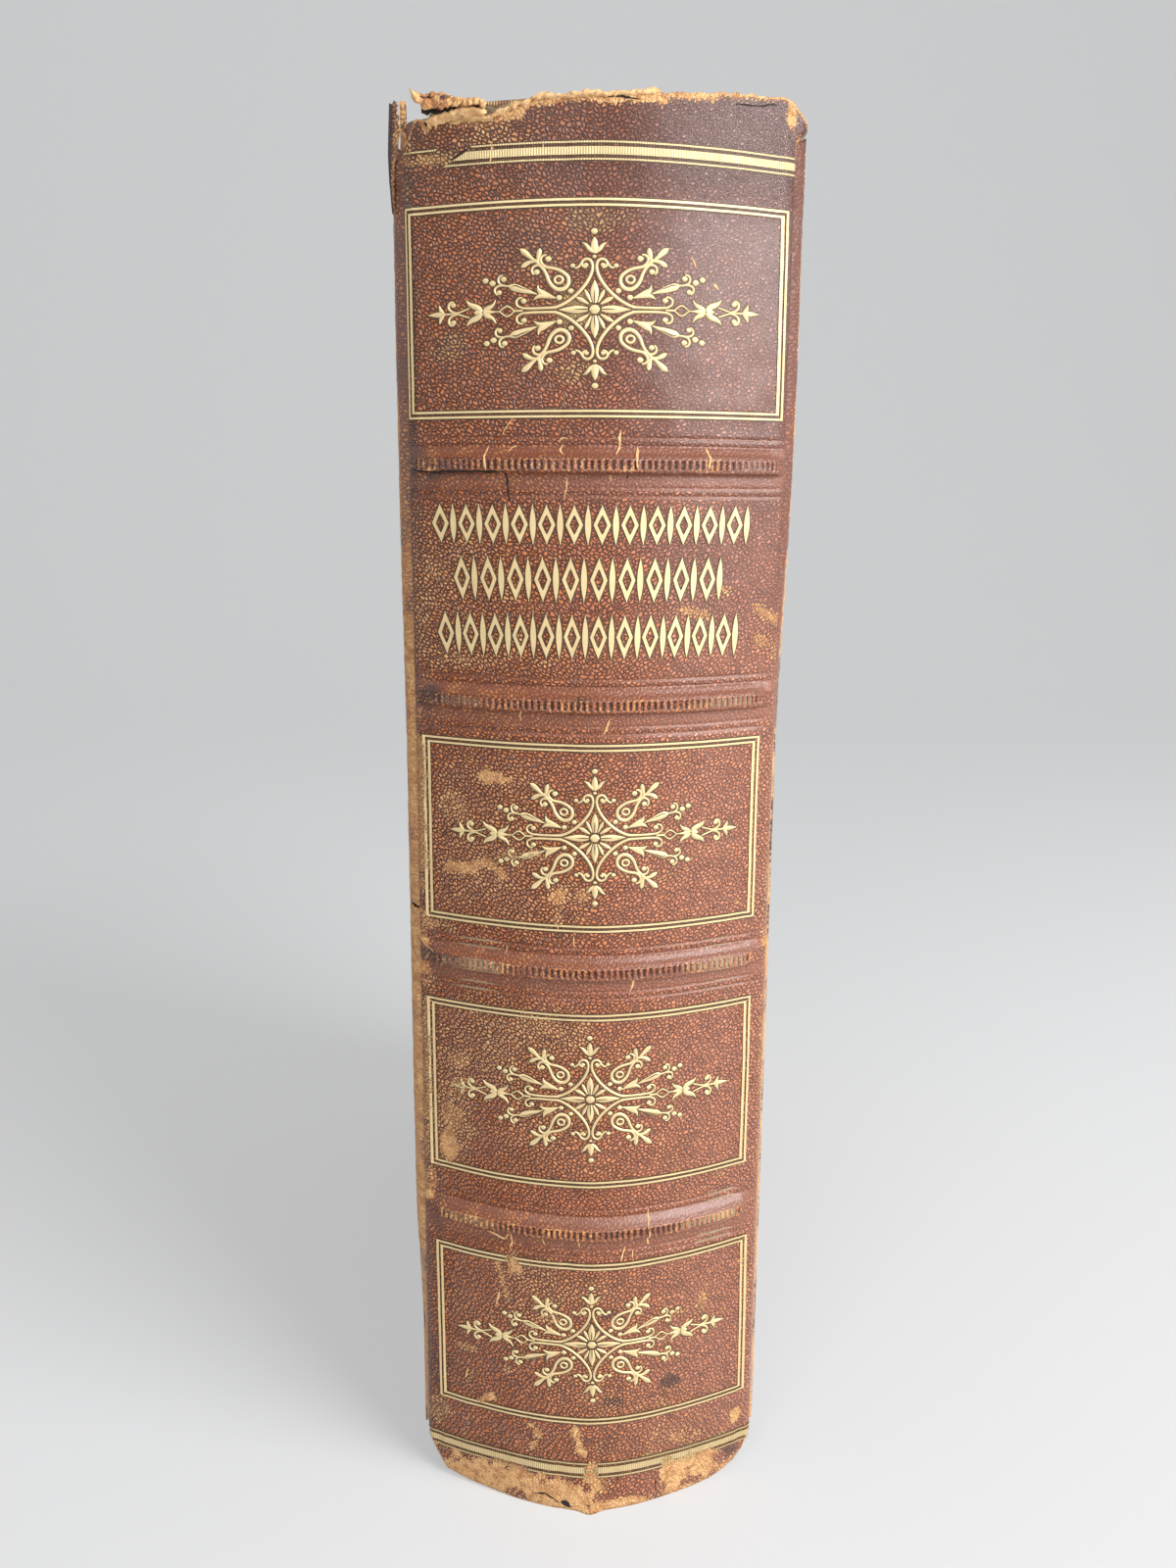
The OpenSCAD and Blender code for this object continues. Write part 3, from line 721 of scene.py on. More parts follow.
@dataclass(frozen=True)
class WoundSilk:
    """Silk wound in alternate colours over the endbands."""

    red: tuple = (0.36, 0.17, 0.085)
    straw: tuple = (0.52, 0.34, 0.17)
    # Painted shade between the threads.
    gap: tuple = (0.06, 0.035, 0.02)
    dirt: tuple = (0.10, 0.06, 0.035)
    turn: float = 0.42
    group: float = 3.4
    roughness: float = 0.6
    relief: float = 0.0001

    def make(self) -> bpy.types.Material:
        """Builds the material, with the threads crossing the book's thickness.

        Returns:
            The material.
        """
        g = Graph("wound_silk")
        place = g.place()
        x = g.parts(place)[0] * (1 / MM)
        dirt = g.noise(place, 300, 3.0)
        threads = (x * (FULL_TURN / self.turn)).sine()
        groups = (x * (FULL_TURN / self.group)).sine().rise(-0.12, 0.12)
        colour = g.mix(groups, self.red, self.straw)
        # Painted shade in the gaps between the threads.
        colour = g.mix(threads.rise(-0.2, -0.9) * 0.6, colour, self.gap)
        colour = g.mix(dirt.rise(0.5, 0.8) * 0.5, colour, self.dirt)
        return g.finish({"Base Color": colour, "Roughness": self.roughness}, threads * 0.5, self.relief)


# The spine as a surface


class Speckle:
    """Seeded smooth noise over the unrolled spine."""

    def __init__(self, seed: int, size: int = 256) -> None:
        """Fills a square lattice with numbers from 0 to 1."""
        self.size = size
        self.lattice = np.random.default_rng(seed).random((size, size))

    def _corner(self, across: np.ndarray, up: np.ndarray) -> np.ndarray:
        """The lattice's numbers at whole places."""
        return self.lattice[up % self.size, across % self.size]

    def at(self, x: np.ndarray, z: np.ndarray, cell: float) -> np.ndarray:
        """Noise from 0 to 1 with features of about cell millimetres."""
        px, pz = x / cell + 64.5, z / cell + 7.5
        ix, iz = np.floor(px).astype(int), np.floor(pz).astype(int)
        fx, fz = px - ix, pz - iz
        fx, fz = fx * fx * (3 - 2 * fx), fz * fz * (3 - 2 * fz)
        low = self._corner(ix, iz) * (1 - fx) + self._corner(ix + 1, iz) * fx
        high = self._corner(ix, iz + 1) * (1 - fx) + self._corner(ix + 1, iz + 1) * fx
        return low * (1 - fz) + high * fz

    def layered(self, x: np.ndarray, z: np.ndarray, cell: float) -> np.ndarray:
        """Three layers of the noise, each finer than the last."""
        second = self.at(x + 31, z + 17, cell / 2)
        third = self.at(x + 7, z + 53, cell / 4)
        return (self.at(x, z, cell) * 4 + second * 2 + third) / 7


def ease(value: np.ndarray, low: float, high: float) -> np.ndarray:
    """0 at low, 1 at high and smooth between, for arrays."""
    t = np.clip((value - low) / (high - low), 0, 1)
    return t * t * (3 - 2 * t)


def within(value: np.ndarray, start: float, end: float, soft: float) -> np.ndarray:
    """1 from start to end, with a smooth step outside each of them."""
    return ease(value, start - soft, start) * (1 - ease(value, end, end + soft))


def hump(value: np.ndarray, wide: float) -> np.ndarray:
    """1 at 0, falling away on both sides like a bell."""
    return np.exp(-((value / wide) ** 2))


@dataclass
class SpineForm:
    """The rounded back: an unrolled width u and a height z, in millimetres, have a place in the book."""

    radius: float = 50.0
    shoulder: float = 3.0
    lip: float = 0.3
    band_out: float = 1.4
    band_face: float = 2.1
    band_slope: float = 1.6
    band_under: float = 0.5
    strip: float = 1.9
    grain_strip: float = 1.2
    blind_width: float = 0.35
    blind_depth: float = 0.2
    ridge: float = 0.32
    flatten: float = 0.8
    real_depth: float = 10.96
    real_half: float = 30.445
    real_power: float = 1.65
    swell: float = 1.5
    tip: float = 1.0
    head_points: tuple = (
        (-31, 228.4), (-29.4, 229.3), (-28.8, 230.6), (-28.2, 232.4), (-27.5, 232.2), (-27.0, 230.7),
        (-26.0, 230.9), (-25.3, 231.9), (-22.5, 232.4), (-20, 231.6), (-17, 231.2), (-14, 232.2),
        (-11, 233.2), (-8, 233.8), (-4, 233.9), (-1, 234.2), (0.5, 234.0), (6, 234.4), (8.5, 234.6),
        (14, 235.0), (20, 235.5), (25, 235.8), (28, 236.0), (29.0, 235.7), (30.0, 234.9), (31.0, 233.8),
        (32, 232.6),
    )
    foot_points: tuple = (
        (-31, 9.0), (-29.7, 8.2), (-29.2, 6.2), (-28.4, 4.4), (-27.4, 2.6), (-26.5, 1.5), (-24, 0.9),
        (-20, 0.5), (-15, 0.15), (-10, 0), (0, 0), (10, 0), (18, 0.1), (22, 0.5), (25, 1.4), (27, 2.6),
        (28.4, 4.2), (29.3, 6.4), (29.8, 8.4), (31, 9.0),
    )
    torn_from: float = 222.0
    worn_to: float = 14.0
    flare: float = 2.05
    flare_from: float = 132.0
    flare_to: float = 193.0
    room: float = 30.0
    room_from: float = 28.3
    room_rise: float = 25.0
    free_from: float = 229.4
    free_to: float = 232.0
    speckle: Speckle = field(default_factory=lambda: Speckle(1876))

    def __post_init__(self) -> None:
        """Takes the spine's place and its bands from the frame."""
        low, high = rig.box("spine_leather")
        self.half = high.x / MM
        self.height = high.z / MM
        self.arc_y = low.y / MM + self.band_out + self.radius
        self.fillet_x = self.half - self.shoulder
        reach = self.radius - self.shoulder
        self.fillet_y = self.arc_y - math.sqrt(reach**2 - self.fillet_x**2)
        self.turn = math.asin(self.fillet_x / reach)
        self.arc_end = self.radius * self.turn
        self.side_end = self.arc_end + self.shoulder * (math.pi / 2 - self.turn)
        self.reach = self.side_end + self.lip
        self.bands = [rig.box(f"band_core_{k}")[0].z / MM for k in range(1, 5)]

    def section(self, u: np.ndarray) -> tuple[np.ndarray, np.ndarray, np.ndarray, np.ndarray]:
        """The plain rounded section.

        Args:
            u: unrolled widths from the middle.

        Returns:
            x and y of the leather's face, and x and y of its outward direction.
        """
        side, away = np.sign(u), np.abs(u)
        on_arc = away <= self.arc_end
        angle = np.where(on_arc, away / self.radius, self.turn + (away - self.arc_end) / self.shoulder)
        angle = np.minimum(angle, math.pi / 2)
        sine, cosine = np.sin(angle), np.cos(angle)
        x = np.where(on_arc, self.radius * sine, self.fillet_x + self.shoulder * sine)
        y = np.where(on_arc, self.arc_y - self.radius * cosine, self.fillet_y - self.shoulder * cosine)
        y = y + np.maximum(away - self.side_end, 0)
        return side * x, y, side * sine, -cosine

    def opened(self, z: np.ndarray) -> np.ndarray:
        """How many times wider than below the hollow back has opened at a height."""
        return 1 + self.flare / self.half * ease(z, self.flare_from, self.flare_to)

    def held(self, z: np.ndarray) -> np.ndarray:
        """How far the opened back keeps out of the room in which the covers fold back, 0 to 1."""
        start = ease(z, self.flare_from, self.flare_from + self.room_rise)
        return start * (1 - ease(z, self.free_from, self.free_to))

    def widened(self, x: np.ndarray, z: np.ndarray) -> np.ndarray:
        """How far to the side a place of the plain section lies once the back has opened."""
        wide = np.abs(x) * self.opened(z)
        spare = self.room - self.room_from
        past = np.tanh(np.maximum(wide - self.room_from, 0) / spare)
        kept = np.minimum(wide, self.room_from) + spare * past
        return np.sign(x) * (wide + (kept - wide) * self.held(z))

    def seen_x(self, u: np.ndarray, z: np.ndarray) -> np.ndarray:
        """How far to the side a place of the unrolled spine lies."""
        return self.widened(self.section(u)[0], z)

    def blind_lines(self, low: float) -> tuple[float, ...]:
        """The heights of the lower edges of the four blind lines that go with a band."""
        top = low + self.band_face + self.band_slope
        foot = low - self.band_under - self.strip - self.blind_width / 2
        return top, top + self.grain_strip, foot, foot - self.grain_strip

    def band_lift(self, z: np.ndarray, inset: float = 0.0) -> np.ndarray:
        """How far the bands and the blind lines move the leather out, with the faces let in by inset."""
        out, face, slope, under = self.band_out, self.band_face, self.band_slope, self.band_under
        section = (
            (-under - 0.1, 0.0), (-under + 0.1, 0.12), (-0.08, out - 0.2), (0.1, out), (face - 0.12, out),
            (face + 0.1, out - 0.15), (face + slope * 0.45, out * 0.42), (face + slope, 0.0),
        )
        wide = self.blind_width / 2
        lift = np.zeros_like(z)
        for low in self.bands:
            lift += np.interp(z - low, *zip(*section), left=0, right=0)
            lift -= inset * within(z - low, 0.22, face - 0.24, 0.2)
            for line in self.blind_lines(low):
                lift -= self.blind_depth * hump(z - line - wide, wide * 1.1)
        return lift

    def lift(self, u: np.ndarray, z: np.ndarray, inset: float = 0.0) -> np.ndarray:
        """How far the worn leather lies outside the plain section.

        Args:
            u: unrolled widths.
            z: heights.
            inset: how deep the bands' faces are let in for their ribbed strips.

        Returns:
            Distances along the outward direction.
        """
        x = self.section(u)[0]
        away = np.abs(x)
        noise = self.speckle
        arc_sag = self.radius - np.sqrt(self.radius**2 - np.minimum(away, self.fillet_x) ** 2)
        real_sag = self.real_depth * (away / self.real_half) ** self.real_power - self.ridge / self.flatten
        inner = 1 - ease(np.abs(u), self.arc_end - 3.5, self.arc_end + 1.5)
        shape = (arc_sag - real_sag) * self.flatten * inner
        fade = 1 - ease(np.abs(u), self.arc_end - 4.2, self.arc_end + 1.2)
        wave = (noise.at(u, z * 0.6, 11.0) - 0.5) * 0.3 + (noise.at(u + 90, z, 3.1) - 0.5) * 0.1
        crease = -0.1 * hump(x + 5 + 0.8 * np.sin(z / 9), 0.8) * ease(noise.at(u, z, 14), 0.3, 0.7)
        foot = self.swell * hump(x + 1.0, 15) * (1 - ease(z, 0.0, 9.0))
        foot = foot + self.tip * hump(x + 0.2, 1.7) * (1 - ease(z, 0.0, 1.4))
        return shape + self.band_lift(z, inset) * fade + (wave + crease) * inner + foot

    def place(
        self, u: np.ndarray, z: np.ndarray, out: np.ndarray | float = 0.0, inset: float = 0.0
    ) -> np.ndarray:
        """Points of the worn leather in metres, moved out by out millimetres."""
        x, y, nx, ny = self.section(u)
        far = self.lift(u, z, inset) + out
        return np.stack([self.widened(x + nx * far, z), y + ny * far, z], axis=-1) * MM

    def unroll(self, points: np.ndarray) -> tuple[np.ndarray, np.ndarray, np.ndarray]:
        """Turns points in metres, near the plain section, into widths, heights and distances out of it."""
        x, y, z = (points / MM).T
        side, away = np.sign(x), np.abs(x)
        angle = np.arctan2(away, self.arc_y - y)
        far = np.hypot(away, self.arc_y - y) - self.radius
        dx, dy = away - self.fillet_x, self.fillet_y - y
        bend = np.arctan2(np.maximum(dx, 0), np.maximum(dy, 1e-9))
        on_arc = angle <= self.turn
        u = np.where(on_arc, self.radius * angle, self.arc_end + self.shoulder * (bend - self.turn))
        return side * u, z, np.where(on_arc, far, np.hypot(dx, dy) - self.shoulder)

    def width_at(self, x: float, z: float) -> float:
        """The unrolled width of a place that lies x millimetres to the side at a height."""
        level = np.array(float(z))
        spare = self.room - self.room_from
        over = min(max(abs(x) - self.room_from, 0) / spare, 0.97)
        plain = min(abs(x), self.room_from) + spare * math.atanh(over)
        wide = abs(x) + (plain - abs(x)) * float(self.held(level))
        away = wide / float(self.opened(level))
        if away <= self.radius * math.sin(self.turn):
            return math.copysign(self.radius * math.asin(away / self.radius), x)
        sine = min(1.0, (away - self.fillet_x) / self.shoulder)
        return math.copysign(self.arc_end + self.shoulder * (math.asin(sine) - self.turn), x)

    def widths_at(self, x: np.ndarray, z: np.ndarray) -> np.ndarray:
        """The unrolled widths of many places."""
        return np.array([self.width_at(side, height) for side, height in zip(x, z)])

    def trimmed(self, u: np.ndarray, level: np.ndarray) -> np.ndarray:
        """Heights of the grid's rows once the torn head and the rubbed foot have drawn them in."""
        x = self.seen_x(u, level)
        ragged = (self.speckle.at(u, u * 0 + 3, 0.9) - 0.5) * 0.5
        head = np.interp(x, *zip(*self.head_points)) + ragged
        foot = np.interp(x, *zip(*self.foot_points)) + ragged * 0.3 * (np.abs(x) > 20)
        high = np.clip((level - self.torn_from) / (self.height - self.torn_from), 0, 1)
        low = np.clip(1 - level / self.worn_to, 0, 1)
        return level + (head - self.height) * high + np.maximum(foot, 0) * low


# Wear


@dataclass(frozen=True)
class Rub:
    """One rubbed, stained or dusty place: its middle, half sizes, strength and turn in degrees."""

    x: float
    z: float
    wide: float
    high: float
    strength: float = 1.0
    turn: float = 0.0


class WearMap:
    """What many years of hands have done to the spine, by place."""

    zones = (
        Rub(-24, 163, 9, 13, 0.42), Rub(-20, 154, 13, 5, 0.46), Rub(-3, 153, 12, 4, 0.30),
        Rub(-14, 166, 7, 8, 0.22), Rub(-19, 123, 12, 16, 0.44), Rub(-8, 112, 9, 6, 0.40),
        Rub(-24, 115, 7, 8, 0.36), Rub(-2, 130, 9, 9, 0.17), Rub(-19, 85, 12, 10, 0.48),
        Rub(-25, 71, 5, 10, 0.55), Rub(-8, 90, 9, 5, 0.5), Rub(-9, 74, 9, 10, 0.34), Rub(3, 86, 8, 9, 0.26),
        Rub(-4, 64, 14, 3, 0.26), Rub(17, 118, 10, 8, 0.10), Rub(12, 70, 12, 9, 0.12),
        Rub(-10, 42, 7, 6, 0.46), Rub(-1, 42, 9, 4, 0.34), Rub(-9, 34, 7, 7, 0.28),
        Rub(-22, 35, 7, 10, 0.22), Rub(-2, 23, 12, 5, 0.26), Rub(8, 19, 14, 4, 0.28),
        Rub(12, 40, 10, 6, 0.16), Rub(22, 38, 5, 8, 0.18), Rub(-13, 12, 12, 4, 0.14),
        Rub(12, 11.5, 13, 3.5, 0.34), Rub(-17, 228.6, 8, 2.2, 0.5), Rub(-28, 212, 2, 9, 0.12),
        Rub(-27, 230.5, 5, 2, 0.42), Rub(-18, 212, 10, 6, 0.08), Rub(-30, 190, 2, 14, 0.22),
    )
    bare = (
        Rub(-8, 233.2, 5.5, 0.7, 1.2), Rub(0, 233.2, 5, 0.9, 1.3), Rub(6, 233.6, 5, 0.9, 1.3),
        Rub(12, 234.4, 5, 0.7, 1.1), Rub(18.5, 235.0, 3.5, 0.5, 0.95), Rub(-13.5, 231.6, 3, 0.9, 1.1),
        Rub(-18, 230.8, 3.5, 1.0, 0.9), Rub(-22, 231.6, 4, 1.1, 1.1), Rub(-26.5, 226.3, 3.6, 1.0, 1.0),
        Rub(-29.6, 228.4, 1.2, 1.8, 0.8), Rub(-29.4, 223.4, 0.6, 2.4, 0.5), Rub(29.4, 233, 0.8, 2.6, 1.3),
        Rub(30.4, 229, 0.7, 2.5, 1.1), Rub(-4, 195.2, 2.3, 1.5, 0.62), Rub(-30.9, 218.2, 0.5, 1.2, 0.8),
        Rub(15, 159.3, 3.2, 0.9, 0.95, -15), Rub(20.5, 162.3, 1.6, 1.2, 0.75, 20),
        Rub(28.3, 158.2, 3.0, 1.0, 1.0, -28), Rub(27.4, 154.2, 1.8, 1.0, 0.95, -30),
        Rub(29.5, 152.2, 0.9, 1.3, 0.8), Rub(-26, 166, 2, 2.2, 0.62), Rub(-22, 151, 3, 0.7, 0.7, -20),
        Rub(-28, 156, 1.2, 5, 0.55), Rub(-14, 161.5, 1.0, 1.5, 0.55), Rub(-9, 151.5, 2.5, 0.6, 0.55),
        Rub(3, 155.5, 4, 0.4, 0.5), Rub(-16.3, 132.2, 2.6, 1.7, 0.98), Rub(-23.5, 126.3, 2.6, 3.2, 0.72),
        Rub(-22.3, 116.6, 3.4, 1.4, 0.95), Rub(-17.2, 117.2, 3.2, 1.0, 0.95, -30),
        Rub(-14.6, 119.6, 2.2, 0.7, 0.8), Rub(-9.8, 120.2, 1.5, 0.8, 0.8), Rub(-6.2, 113.2, 1.8, 1.6, 0.95),
        Rub(-2, 113.6, 1.6, 1.3, 0.9), Rub(-6, 109.6, 0.7, 2.6, 0.8), Rub(-2.8, 119.6, 0.9, 0.6, 0.6),
        Rub(11.5, 116.2, 1.8, 0.6, 0.62, 20), Rub(5, 117, 1.3, 0.8, 0.55), Rub(-29, 124, 1.1, 17, 0.9),
        Rub(-28, 106.2, 2.6, 1.1, 0.85), Rub(-24.4, 105.6, 1.6, 0.9, 0.6), Rub(14, 135.3, 0.8, 1.2, 0.55),
        Rub(24.5, 110.6, 1.2, 0.8, 0.45), Rub(17, 120, 2.5, 0.6, 0.4, 20), Rub(-25.4, 66, 1.8, 3.2, 0.98),
        Rub(-24.8, 72, 2.2, 3.2, 0.85), Rub(-23.6, 77.4, 2.3, 1.8, 0.8), Rub(-23.4, 82.3, 2.3, 1.5, 0.8),
        Rub(-22, 69.5, 1.8, 1.6, 0.72), Rub(-8.8, 90.6, 3.4, 2.2, 0.70), Rub(-4, 88.6, 2.6, 1.6, 0.55),
        Rub(-1.5, 91.2, 1.6, 1.2, 0.55), Rub(-29, 78, 1.0, 16, 0.85), Rub(-28.4, 97, 1.4, 3, 0.5),
        Rub(11.5, 85.4, 1.4, 0.8, 0.5, -20), Rub(14.2, 64.2, 0.8, 0.7, 0.6), Rub(23, 60.8, 1.0, 0.8, 0.75),
        Rub(12, 68.5, 0.6, 3.5, 0.4), Rub(25.6, 76.5, 0.5, 0.5, 0.6), Rub(12.4, 88.6, 1.0, 1.2, 0.4),
        Rub(-29, 58.5, 1.6, 3.2, 0.85), Rub(29.6, 64, 0.7, 1.8, 0.95), Rub(29.4, 84, 0.5, 9, 0.7),
        Rub(29.4, 110, 0.5, 12, 0.6), Rub(-13.6, 45.6, 1.8, 2.4, 1.0), Rub(-15.6, 41.6, 0.7, 4.2, 0.9, 16),
        Rub(-7.8, 36.6, 2.3, 1.1, 0.72), Rub(-10.8, 34.6, 1.5, 0.8, 0.6),
        Rub(-19.4, 18.3, 2.3, 0.9, 1.2, 28), Rub(-22.6, 27.6, 1.9, 0.7, 0.85),
        Rub(-22, 21.6, 0.5, 2.4, 0.6, -24), Rub(-15, 25.3, 1.5, 0.7, 0.75), Rub(15, 36, 2.4, 0.9, 0.85, 12),
        Rub(19.8, 37.2, 1.3, 1.7, 0.85), Rub(20.6, 40.4, 0.4, 1.4, 0.55), Rub(27.5, 42.6, 0.9, 1.6, 0.75),
        Rub(28.6, 36, 0.5, 5, 0.7), Rub(24, 33.6, 1.0, 0.6, 0.4), Rub(9, 18.8, 1.3, 0.8, 0.62),
        Rub(12.8, 18.6, 1.3, 0.7, 0.62), Rub(-28, 13.2, 2.2, 2.6, 0.75),
        Rub(-22.7, 11.8, 0.4, 2.6, 0.7, -16), Rub(-10.6, 14.7, 1.2, 0.6, 1.0, -30),
        Rub(-9.6, 13.3, 0.8, 1.1, 1.15), Rub(-10.3, 11, 0.6, 1.6, 1.0, -14),
        Rub(-2.7, 14.4, 0.9, 1.5, 1.15), Rub(-1.9, 11.4, 0.9, 2.0, 1.1, 14), Rub(1.2, 11.5, 0.5, 1.3, 0.7),
        Rub(11.8, 13, 0.5, 1.6, 0.75, -16), Rub(15.6, 10.9, 2.2, 1.4, 0.95), Rub(26.8, 12.2, 1.0, 1.9, 1.1),
        Rub(19.4, 10.6, 1.0, 1.2, 0.8), Rub(-18, 3.0, 11, 2.6, 1.25), Rub(-6, 2.4, 8, 2.7, 1.25),
        Rub(15.2, 4.2, 3.7, 3.6, 1.3), Rub(20.6, 4.0, 3.6, 3.0, 1.2), Rub(5, 0.9, 6, 1.1, 1.2),
        Rub(25.6, 1.6, 3.6, 1.4, 1.0, 30), Rub(0, 6.2, 1.6, 2.6, 1.0), Rub(2, 4.6, 2, 1.2, 0.8),
        Rub(-15, 5.8, 5, 0.8, 0.9),
    )
    stains = (
        Rub(14.2, 22.8, 1.9, 1.5, 0.9), Rub(3.8, 20.6, 2.0, 1.1, 0.7), Rub(2.8, 37.6, 1.6, 1.2, 0.6),
        Rub(-17, 13, 2.0, 2.0, 0.4), Rub(3, 12.6, 2.2, 2.0, 0.5), Rub(-21, 1.6, 6, 0.9, 0.9),
        Rub(-9, 0.9, 4, 0.7, 0.8), Rub(26.4, 4.6, 1.6, 1.1, 0.8), Rub(-25, 181, 5, 1.2, 0.6),
        Rub(-29.6, 200, 1.0, 22, 0.6), Rub(-30.6, 160, 0.8, 20, 0.6), Rub(-25, 22, 5, 4, 0.35),
        Rub(-6, 106.8, 1.2, 1.0, 0.6), Rub(-12, 214, 5, 5, 0.4), Rub(-2.7, 145.2, 1.4, 0.9, 0.7),
        Rub(-28, 145, 3, 1.5, 0.7), Rub(-26, 100.6, 4, 0.9, 0.5), Rub(-10.5, 181.8, 3.5, 1.0, 0.5),
        Rub(24, 5.3, 3.5, 0.5, 0.7, 14),
    )
    gold_dust = (
        Rub(-1, 217, 6.0, 2.0, 0.48), Rub(-9.5, 213, 5, 5.0, 0.22), Rub(-22.8, 199.4, 3.0, 2.6, 0.48),
        Rub(-4, 195.4, 3.4, 1.8, 0.40), Rub(-3.4, 204.4, 3.0, 2.6, 0.80), Rub(-5, 207, 4.5, 3.6, 0.25),
        Rub(9, 206, 6, 5, 0.12), Rub(15, 7.6, 8, 1.8, 0.85), Rub(24, 8, 5, 1.2, 0.8),
        Rub(-24, 7.4, 6, 1.4, 0.7), Rub(-24, 226.2, 5, 1.1, 0.5), Rub(17, 158, 2, 2, 0.3),
        Rub(-29.2, 124, 0.8, 16, 0.35), Rub(-28, 12.5, 2, 2, 0.3), Rub(-10, 204, 22, 9, 0.05),
    )

    def __init__(self, form: SpineForm) -> None:
        """Keeps the form that it lies on."""
        self.form = form
        self.speckle = Speckle(77)

    def _spots(
        self, spots: tuple[Rub, ...], x: np.ndarray, z: np.ndarray, ragged: float, soft: float
    ) -> np.ndarray:
        """The strongest of some places at each point.

        Args:
            spots: the places.
            x: how far to the side each point lies.
            z: its height.
            ragged: how uneven the places' rims are.
            soft: how wide their rims are, as a share of their size.

        Returns:
            The strength at each point.
        """
        total = np.zeros_like(x)
        rough = self.speckle.layered(x, z, 1.6) - 0.5
        for k, spot in enumerate(spots):
            far = (spot.wide + spot.high) * 2
            near = (np.abs(x - spot.x) < far) & (np.abs(z - spot.z) < far)
            if not near.any():
                continue
            dx, dz = x[near] - spot.x, z[near] - spot.z
            turn = math.radians(spot.turn)
            a = dx * math.cos(turn) + dz * math.sin(turn)
            b = dz * math.cos(turn) - dx * math.sin(turn)
            out = np.hypot(a / spot.wide, b / spot.high) + rough[near] * ragged * (1 + 0.2 * (k % 3))
            total[near] = np.maximum(total[near], spot.strength * (1 - ease(out, 1 - soft, 1 + soft)))
        return total

    def _band_marks(self, z: np.ndarray) -> tuple[np.ndarray, np.ndarray]:
        """Where the bands have left the leather smooth, and where their faces stand out."""
        form = self.form
        face, slope_end = form.band_face, form.band_face + form.band_slope
        foot = -form.band_under - form.strip
        smooth, crest = np.zeros_like(z), np.zeros_like(z)
        for low in form.bands:
            dz = z - low
            slope = ease(dz, face - 0.1, face + 0.15) * (1 - ease(dz, slope_end - 0.1, slope_end + 0.25))
            under = ease(dz, foot - 0.3, foot) * (1 - ease(dz, -0.25, 0.0))
            smooth = np.maximum.reduce([smooth, slope, 0.8 * under])
            crest = np.maximum(crest, ease(dz, -0.1, 0.1) * (1 - ease(dz, face - 0.1, face + 0.1)))
            lines = (slope_end, slope_end + form.grain_strip, foot - 0.3, foot - form.grain_strip - 0.3)
            for line in lines:
                smooth = np.maximum(smooth, 0.9 * hump(dz - line - 0.15, 0.22))
        return smooth, crest

    def at(self, u: np.ndarray, z: np.ndarray) -> np.ndarray:
        """The four channels of the wear map.

        Args:
            u: unrolled widths.
            z: heights.

        Returns:
            One row per point, in the order of Wear.
        """
        form = self.form
        x, away = form.seen_x(u, z), np.abs(u)
        clouds = self.speckle.layered(x + 200, z, 5.5)
        zones = self._spots(self.zones, x, z, 0.5, 0.6) * (0.4 + 1.0 * clouds)
        bare = self._spots(self.bare, x, z, 1.1, 0.28)
        everywhere = 0.08 * ease(-x, -18, 12) * (1 - ease(z, 150, 190)) + 0.02
        head = np.interp(x, *zip(*form.head_points))
        rim_end = 0.8 + 0.5 * ease(-np.abs(x - 2), -14, 0)
        head_rim = 1.15 * (1 - ease(head - z + (clouds - 0.5) * 1.0, 0.35, rim_end))
        foot = np.interp(x, *zip(*form.foot_points))
        foot_rim = 1.1 * (1 - ease(z - foot + (clouds - 0.5) * 1.2, 0.3, 1.1))
        side = 0.55 * ease(away, form.arc_end + 0.6, form.side_end) * ease(clouds, 0.25, 0.6)
        rubbed = np.maximum.reduce([zones, bare, head_rim, foot_rim, side]) + everywhere
        smooth, crest = self._band_marks(z)
        inner = 1 - ease(away, form.arc_end - 2, form.arc_end + 1)
        rubbed = rubbed * (1 - 0.8 * smooth * inner) + crest * inner * 0.35 * ease(clouds, 0.35, 0.65)
        # Stains, and painted shade in the blind lines and in the strips under the bands; the next line makes it darker
        # towards the left edge.
        grime = self._spots(self.stains, x, z, 0.8, 0.45) + 0.35 * smooth * inner * (1 - crest)
        grime = grime + 0.5 * ease(-x, 24, 30)
        dust = self._spots(self.gold_dust, x, z, 0.9, 0.5)
        return np.clip(np.stack([rubbed * 0.8, smooth, grime, dust], axis=-1), 0, 1)


# Mesh helpers


def points_of(mesh: bpy.types.Mesh) -> np.ndarray:
    """The vertices of a mesh, in metres."""
    flat = np.zeros(len(mesh.vertices) * 3, np.float32)
    mesh.vertices.foreach_get("co", flat)
    return flat.reshape(-1, 3).astype(float)


def set_points(mesh: bpy.types.Mesh, points: np.ndarray) -> None:
    """Moves the vertices of a mesh to these points."""
    mesh.vertices.foreach_set("co", points.astype(np.float32).ravel())
    mesh.update()


def add_piece(
    name: str, mesh: bpy.types.Mesh, material: bpy.types.Material, smooth: bool = True
) -> bpy.types.Object:
    """Puts a finished mesh into the scene under its name."""
    mesh.materials.clear()
    mesh.materials.append(material)
    mesh.polygons.foreach_set("use_smooth", [smooth] * len(mesh.polygons))
    piece = bpy.data.objects.new(name, mesh)
    bpy.context.scene.collection.objects.link(piece)
    LOG.info("%s: %d faces", name, len(mesh.polygons))
    return piece


def add_to_spine(
    name: str, mesh: bpy.types.Mesh, material: bpy.types.Material, smooth: bool = True
) -> bpy.types.Object:
    """Puts a finished mesh of the spine's leather into the scene, on the body of the pages."""
    piece = add_piece(name, mesh, material, smooth)
    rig.ride(piece, "book_block")
    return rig.slot(piece, "spine_leather")


